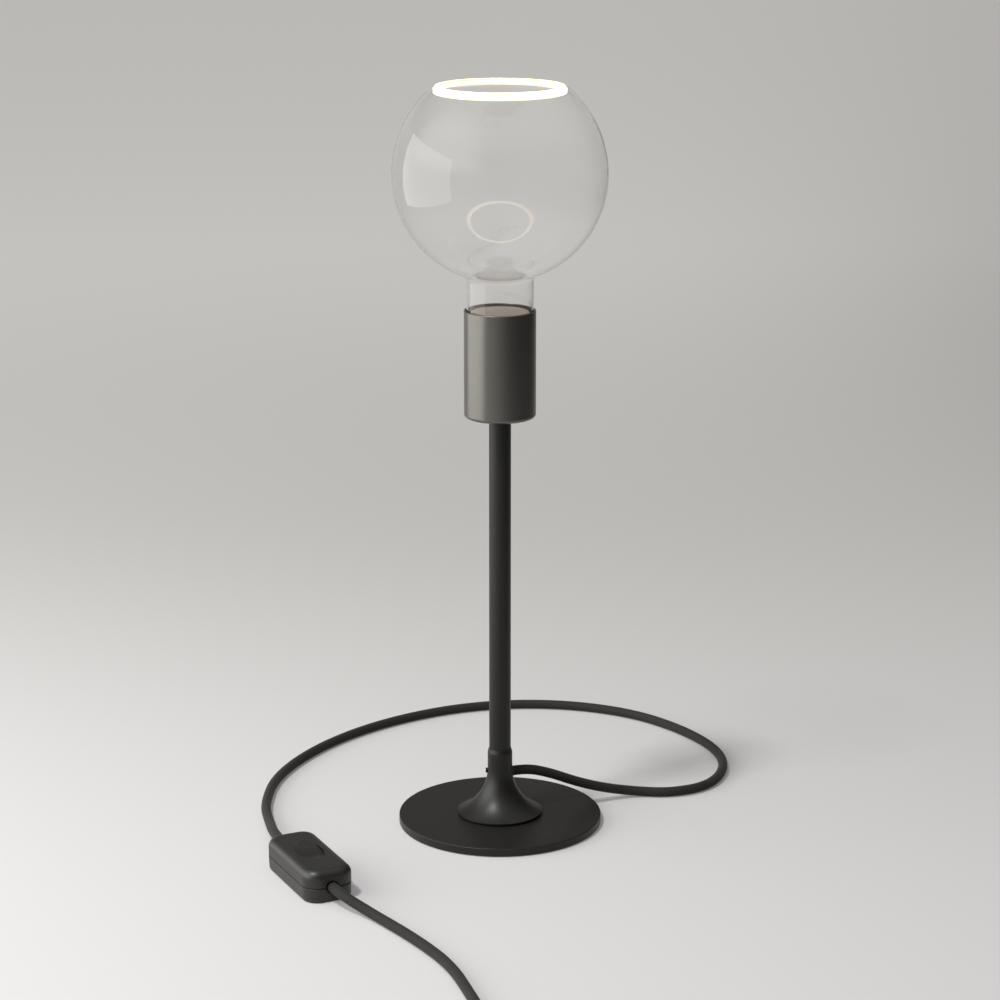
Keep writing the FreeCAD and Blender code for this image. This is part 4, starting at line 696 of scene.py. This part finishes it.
def clear_film():
    """Clear flexible strip with a faint drawn grain."""
    material, tree, shader = principled("clear_film", FILM_TINT, 0.12)
    shader.inputs["Transmission Weight"].default_value = 1.0
    shader.inputs["IOR"].default_value = FILM_IOR
    grain = object_noise(tree, 700.0, 2.0)
    tree.links.new(value_between(tree, grain, 0.06, 0.2), shader.inputs["Roughness"])
    return material


finish_node(lit_strip(), "led_ring")
finish_node(clear_film(), "ring_leads")

# ---------------------------------------------------------------- driver
# The white driver cup in the neck, its lacquered board and black components,
# and the spun cover over it, polished to a copper-toned mirror.
COVER_SHOULDER = 0.0025
COVER_CROWN = 0.00035
COVER_THICK = 0.0003
COPPER_DARK = (0.25, 0.145, 0.088)
COPPER_LIGHT = (0.37, 0.23, 0.15)
TURNING_RINGS = 900.0
HOUSING_WHITE = (0.7, 0.7, 0.67)
BOARD_DARK = (0.012, 0.1, 0.04)
BOARD_LIGHT = (0.03, 0.18, 0.08)
COMPONENT_BLACK = (0.02, 0.02, 0.02)


def spun_cover():
    """Nearly flat disc with a rounded shoulder and a turned-down rim, spun from thin sheet."""
    low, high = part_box("driver_cover")
    radius = (high[0] - low[0]) / 2
    flat_r = radius - COVER_SHOULDER
    edge_z = high[2] - COVER_CROWN

    def side(depth):
        crown = [(flat_r * k / 6, high[2] - COVER_CROWN * (k / 6) ** 2 - depth) for k in range(7)]
        bend = COVER_SHOULDER - depth
        middle_z = edge_z - COVER_SHOULDER
        turns = [math.pi / 2 * k / 14 for k in range(1, 15)]
        shoulder = [(flat_r + bend * math.sin(t), middle_z + bend * math.cos(t)) for t in turns]
        return crown + shoulder + [(radius - depth, low[2])]

    cover = turned("spun_cover", side(0.0) + side(COVER_THICK)[::-1])
    cover.data.shade_smooth()
    return cover


def copper_mirror():
    """Spun copper tone: fine turning rings round the axis, polished over."""
    material, tree, shader = principled("copper_mirror", COPPER_LIGHT, 0.1, 1.0)
    place = tree.nodes.new("ShaderNodeTexCoord").outputs["Object"]
    rings = tree.nodes.new("ShaderNodeTexWave")
    rings.wave_type = "RINGS"
    rings.rings_direction = "Z"
    rings.inputs["Scale"].default_value = TURNING_RINGS
    rings.inputs["Distortion"].default_value = 0.6
    tree.links.new(place, rings.inputs["Vector"])
    tarnish = object_noise(tree, 120.0, 3.0)
    tree.links.new(between(tree, tarnish, COPPER_DARK, COPPER_LIGHT), shader.inputs["Base Color"])
    tree.links.new(value_between(tree, rings.outputs["Fac"], 0.06, 0.16),
                   shader.inputs["Roughness"])
    bump(tree, shader, rings.outputs["Fac"], 0.00001, 0.4)
    return material


def lacquered_board():
    """Green lacquer over a woven board, slightly uneven in depth."""
    material, tree, shader = principled("lacquered_board", BOARD_LIGHT, 0.3)
    fill = object_noise(tree, 400.0, 1.0)
    tree.links.new(between(tree, fill, BOARD_DARK, BOARD_LIGHT), shader.inputs["Base Color"])
    return material


finish_node(moulded("driver_moulding", HOUSING_WHITE, 0.4), "driver_housing")
place_piece(spun_cover(), "bulb", "copper_mirror", copper_mirror(), "driver_cover")
finish_node(lacquered_board(), "driver_board")
finish_node(moulded("component_case", COMPONENT_BLACK, 0.4), "driver_parts")

# ---------------------------------------------------------------- bulb cap
# Nickel-plated brass cap with the rolled round thread of a large screw cap, a
# black glass insulator below it and a tinned contact at the tip.
THREAD_PITCH = 0.003629
THREAD_DEPTH = 0.0008
THREAD_FADE = 8
CAP_R = 0.013
CAP_SEAT_R = 0.0111
CAP_SHOULDER = 0.002
CAP_RIM = 0.0012
CAP_ROLL_OUT = 0.00035
CAP_ROLL_IN = -0.00005
CAP_LIP = -0.0004
CAP_AROUND = 96
CAP_ALONG = 84
NICKEL = (0.66, 0.64, 0.6)
TIN = (0.55, 0.55, 0.56)
GLAZE_BLACK = (0.008, 0.008, 0.008)


def rolled_cap():
    """Cap's wall as a helical wave that fades out at both ends, closed by its inner side."""
    low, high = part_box("bulb_cap_shell")
    shoulder, rim = low[2] + CAP_SHOULDER, high[2] - CAP_RIM
    turns = [2 * math.pi * k / CAP_AROUND for k in range(CAP_AROUND)]
    mesh = bmesh.new()

    def ring_at(z, radius, depth=0.0):
        ring = []
        for a in turns:
            wave = 0.5 - 0.5 * math.cos(2 * math.pi * (z / THREAD_PITCH) - a)
            r = radius - depth * wave
            ring.append(mesh.verts.new((r * math.cos(a), r * math.sin(a), z)))
        return ring

    rings = [ring_at(low[2], CAP_SEAT_R)]
    for k in range(CAP_ALONG + 1):
        fade = min(1.0, k / THREAD_FADE, (CAP_ALONG - k) / THREAD_FADE)
        z = shoulder + (rim - shoulder) * k / CAP_ALONG
        rings.append(ring_at(z, CAP_R, THREAD_DEPTH * fade))
    rings += [ring_at(high[2], CAP_R + CAP_ROLL_OUT), ring_at(high[2], CAP_R + CAP_ROLL_IN)]
    rings.append(ring_at(rim, CAP_R + CAP_LIP))
    for near, far in zip(rings, rings[1:]):
        for k in range(CAP_AROUND):
            after = (k + 1) % CAP_AROUND
            mesh.faces.new((near[k], near[after], far[after], far[k]))
    cap = finished("threaded_cap", mesh)
    cap.data.shade_smooth()
    return cap


nickel = plated_steel("nickel_plate", NICKEL, 0.22)
place_piece(rolled_cap(), "bulb", "nickel", nickel, "bulb_cap_shell")
finish_node(plated_steel("tinned_contact", TIN, 0.4), "bulb_tip_contact")
finish_node(moulded("black_glass", GLAZE_BLACK, 0.15, 0.00001), "bulb_cap_insulator")
finish_node(nickel, "plug_pins")

# ---------------------------------------------------------------- switch and plug
# Injection-moulded shells with a fine spark-eroded texture and a painted shade line
# where they meet. The rocker is the same plastic, polished a little by fingers.
SEAM_HALF = 0.00016
SEAM_SOFT = 0.0002
SHELL_DARK = (0.0115, 0.0112, 0.01)
SHELL_LIGHT = (0.0145, 0.014, 0.0125)
SHELL_ROUGH = 0.42
PLUG_BLACK = (0.0125, 0.0121, 0.0108)
ROCKER_BLACK = (0.0105, 0.0102, 0.0091)


def scaled(tree, color, factor):
    """A colour times a number; each may be plain or come from the tree."""
    node = tree.nodes.new("ShaderNodeVectorMath")
    node.operation = "SCALE"
    for socket, value in ((node.inputs[0], color), (node.inputs["Scale"], factor)):
        if isinstance(value, (int, float, tuple)):
            socket.default_value = value
        else:
            tree.links.new(value, socket)
    return node.outputs[0]


def shell_with_painted_seam_shade():
    """The switch's moulding, with painted shade darkening the narrow gap where its two shells meet.
    """
    material, tree, shader = principled("shell_with_painted_seam_shade", SHELL_DARK, SHELL_ROUGH)
    grain = object_noise(tree, 1800.0, 3.0)
    # Painted shade: a thin band at the shells' seam is painted black, and clear is 0 there.
    seam_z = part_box("switch_cover")[0][2]
    above = math_node(tree, "SUBTRACT", object_place(tree)["Z"], seam_z)
    off = math_node(tree, "ABSOLUTE", above)
    clear = smooth_range(tree, off, SEAM_HALF, SEAM_HALF + SEAM_SOFT)
    skin = between(tree, grain, SHELL_DARK, SHELL_LIGHT)
    tree.links.new(scaled(tree, skin, clear), shader.inputs["Base Color"])
    tree.links.new(value_between(tree, clear, 1.0, SHELL_ROUGH), shader.inputs["Roughness"])
    bump(tree, shader, grain, 0.00004, 0.8)
    return material


finish_node(shell_with_painted_seam_shade(), "switch_base", "switch_cover")
finish_node(moulded("eroded_moulding", PLUG_BLACK, SHELL_ROUGH), "cord_bush", "plug_relief",
            "plug_body")
finish_node(moulded("worn_moulding", ROCKER_BLACK, 0.38, 0.00002), "switch_rocker")

# ---------------------------------------------------------------- floor and light
# A pale matte sheet that runs back without a corner; its greying off with distance,
# its paler left, its darker right and its glow are painted light and shade.
# An upright soft light stands close on the left, a small one high up gives the
# short shadows, and the studio is light behind and left, dim right and in front.
BACK_GREY = (0.545, 0.534, 0.515)
DIM_GREY = (0.065, 0.064, 0.062)
CEILING_GREY = (0.085, 0.083, 0.08)
NEAR_PALE = (0.69, 0.677, 0.68)
OPEN_SIDE = (-0.95, 0.3, 0.0)
FLOOR_R = 60.0
FLOOR_EDGES = 96
FLOOR_PAINT = 0.68
FLOOR_GLOW = 0.2
FAR_GLOW = 0.48
RIGHT_SLANT = -0.172
RIGHT_PAINTED_SHADE = 0.3
WINDOW_SLANT = 0.2
OVERHEAD = 0.5
OVERHEAD_TONE = (1.0, 0.99, 0.98)
KEY_SIDE = Vector((-0.9, -0.42, 0.25)).normalized()
KEY_LIGHT = 2.4
KEY_TONE = (1.0, 0.985, 0.965)


def vector_node(tree, operation, *values):
    """A Vector Math node with tuples or sockets on its inputs."""
    node = tree.nodes.new("ShaderNodeVectorMath")
    node.operation = operation
    for socket, value in zip(node.inputs, values):
        if isinstance(value, (tuple, Vector)):
            socket.default_value = value
        else:
            tree.links.new(value, socket)
    return node.outputs


def surround_grey(tree, way):
    """Grey of the studio in a level direction: light behind and left, dim right and in front."""
    level = vector_node(tree, "MULTIPLY", way, (1.0, 1.0, 0.0))["Vector"]
    unit = vector_node(tree, "NORMALIZE", level)["Vector"]
    openness = vector_node(tree, "DOT_PRODUCT", unit, OPEN_SIDE)["Value"]
    return between(tree, smooth_range(tree, openness, -0.7, 0.3), DIM_GREY, BACK_GREY)


def mixed(tree, factor, first, second):
    """From the first colour to the second as factor goes from 0 to 1."""
    mix = tree.nodes.new("ShaderNodeMix")
    mix.data_type = "RGBA"
    for name, value in (("Factor", factor), ("A", first), ("B", second)):
        tree.links.new(value, mix.inputs[name])
    return mix.outputs["Result"]


def studio_floor():
    """Round sheet, pale near the lamp; its falloff of light to the right and into the distance is
    painted, and its glow is painted light that takes over far away.
    """
    mesh = bmesh.new()
    bmesh.ops.create_circle(mesh, cap_ends=True, segments=FLOOR_EDGES, radius=FLOOR_R)
    floor = finished("floor", mesh)
    bpy.context.collection.objects.link(floor)
    material, tree, shader = principled("studio_floor", NEAR_PALE, 0.9)
    shader.inputs["Specular IOR Level"].default_value = 0.1
    place = object_place(tree)
    point = tree.nodes.new("ShaderNodeTexCoord").outputs["Object"]
    away = vector_node(tree, "LENGTH", point)["Value"]
    # Painted light: the near floor is painted paler on the left and darker on the right.
    near = scaled(tree, NEAR_PALE, smooth_range(tree, place["X"], -0.7, 0.7, 1.12, 0.86))
    far = scaled(tree, BACK_GREY, smooth_range(tree, place["X"], -0.6, 0.1, 1.0, 0.98))
    pale = mixed(tree, smooth_range(tree, place["Y"], -0.36, 0.78), near, far)
    past_right = math_node(tree, "MULTIPLY_ADD", place["Y"], RIGHT_SLANT, place["X"])
    # Painted shade: the floor is painted darker past the lamp's right.
    lit = scaled(tree, pale, smooth_range(tree, past_right, 0.33, 1.0, 1.0, RIGHT_PAINTED_SHADE))
    # Painted light: far away the floor takes the studio's grey, lighter behind and left, dim right.
    whole = mixed(tree, smooth_range(tree, away, 0.5, 2.0), lit, surround_grey(tree, point))
    before_window = math_node(tree, "MULTIPLY_ADD", place["Y"], WINDOW_SLANT, place["X"])
    painted = smooth_range(tree, before_window, -0.9, -0.4)
    paint = math_node(tree, "MULTIPLY", painted, FLOOR_PAINT)
    tree.links.new(scaled(tree, whole, paint), shader.inputs["Base Color"])
    tree.links.new(whole, shader.inputs["Emission Color"])
    # Painted light: the floor glows, more so far away and where the soft light stands.
    glow = smooth_range(tree, away, 0.5, 2.2, FLOOR_GLOW, FAR_GLOW)
    unpainted = math_node(tree, "SUBTRACT", 1.0, painted)
    more = math_node(tree, "SUBTRACT", 1.0, glow)
    tree.links.new(math_node(tree, "MULTIPLY_ADD", more, unpainted, glow),
                   shader.inputs["Emission Strength"])
    floor.data.materials.append(material)


def surround():
    """Studio round the sheet: its level grey, a dark ceiling, and two soft lights in it."""
    world = bpy.data.worlds.new("surround")
    bpy.context.scene.world = world
    world.use_nodes = True
    tree = world.node_tree
    way = tree.nodes.new("ShaderNodeTexCoord").outputs["Generated"]
    split = tree.nodes.new("ShaderNodeSeparateXYZ")
    tree.links.new(way, split.inputs[0])
    up = split.outputs["Z"]
    level = surround_grey(tree, way)
    ceiling = tree.nodes.new("ShaderNodeRGB").outputs[0]
    ceiling.default_value = (*CEILING_GREY, 1.0)
    upper = mixed(tree, smooth_range(tree, up, 0.14, 0.34), level, ceiling)
    dome = scaled(tree, OVERHEAD_TONE, smooth_range(tree, up, 0.5, 0.92, 0.0, OVERHEAD))
    toward = vector_node(tree, "DOT_PRODUCT", way, KEY_SIDE)["Value"]
    key = scaled(tree, KEY_TONE, smooth_range(tree, toward, 0.6, 0.97, 0.0, KEY_LIGHT))
    key = scaled(tree, key, smooth_range(tree, up, 0.0, 0.3))
    lights = vector_node(tree, "ADD", dome, key)["Vector"]
    total = vector_node(tree, "ADD", upper, lights)["Vector"]
    paths = tree.nodes.new("ShaderNodeLightPath")
    tree.links.new(mixed(tree, paths.outputs["Is Transmission Ray"], total, level),
                   tree.nodes["Background"].inputs["Color"])


def softbox(name, place, target, width, height, power, not_on=None):
    """Soft panel light; glass doesn't show it through, and one piece may be kept out of it."""
    light = bpy.data.lights.new(name, "AREA")
    light.shape = "RECTANGLE"
    light.size = width
    light.size_y = height
    light.energy = power
    panel = bpy.data.objects.new(name, light)
    panel.location = place
    panel.visible_transmission = False
    panel.rotation_euler = (Vector(target) - Vector(place)).to_track_quat("-Z", "Y").to_euler()
    bpy.context.collection.objects.link(panel)
    if not_on:
        kept_dark = bpy.data.collections.new(name + "_not_on")
        kept_dark.objects.link(not_on)
        kept_dark.collection_objects[0].light_linking.link_state = "EXCLUDE"
        panel.light_linking.receiver_collection = kept_dark


studio_floor()
surround()
softbox("left_window", place=(-0.899, -0.047, 0.36), target=(0.0, 0.0, 0.36),
        width=1.26, height=0.74, power=6.1)
softbox("high_key", place=(-0.94, -0.79, 2.41), target=(0.0, 0.0, 0.0),
        width=0.32, height=0.32, power=44.0, not_on=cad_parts["bulb_glass"])
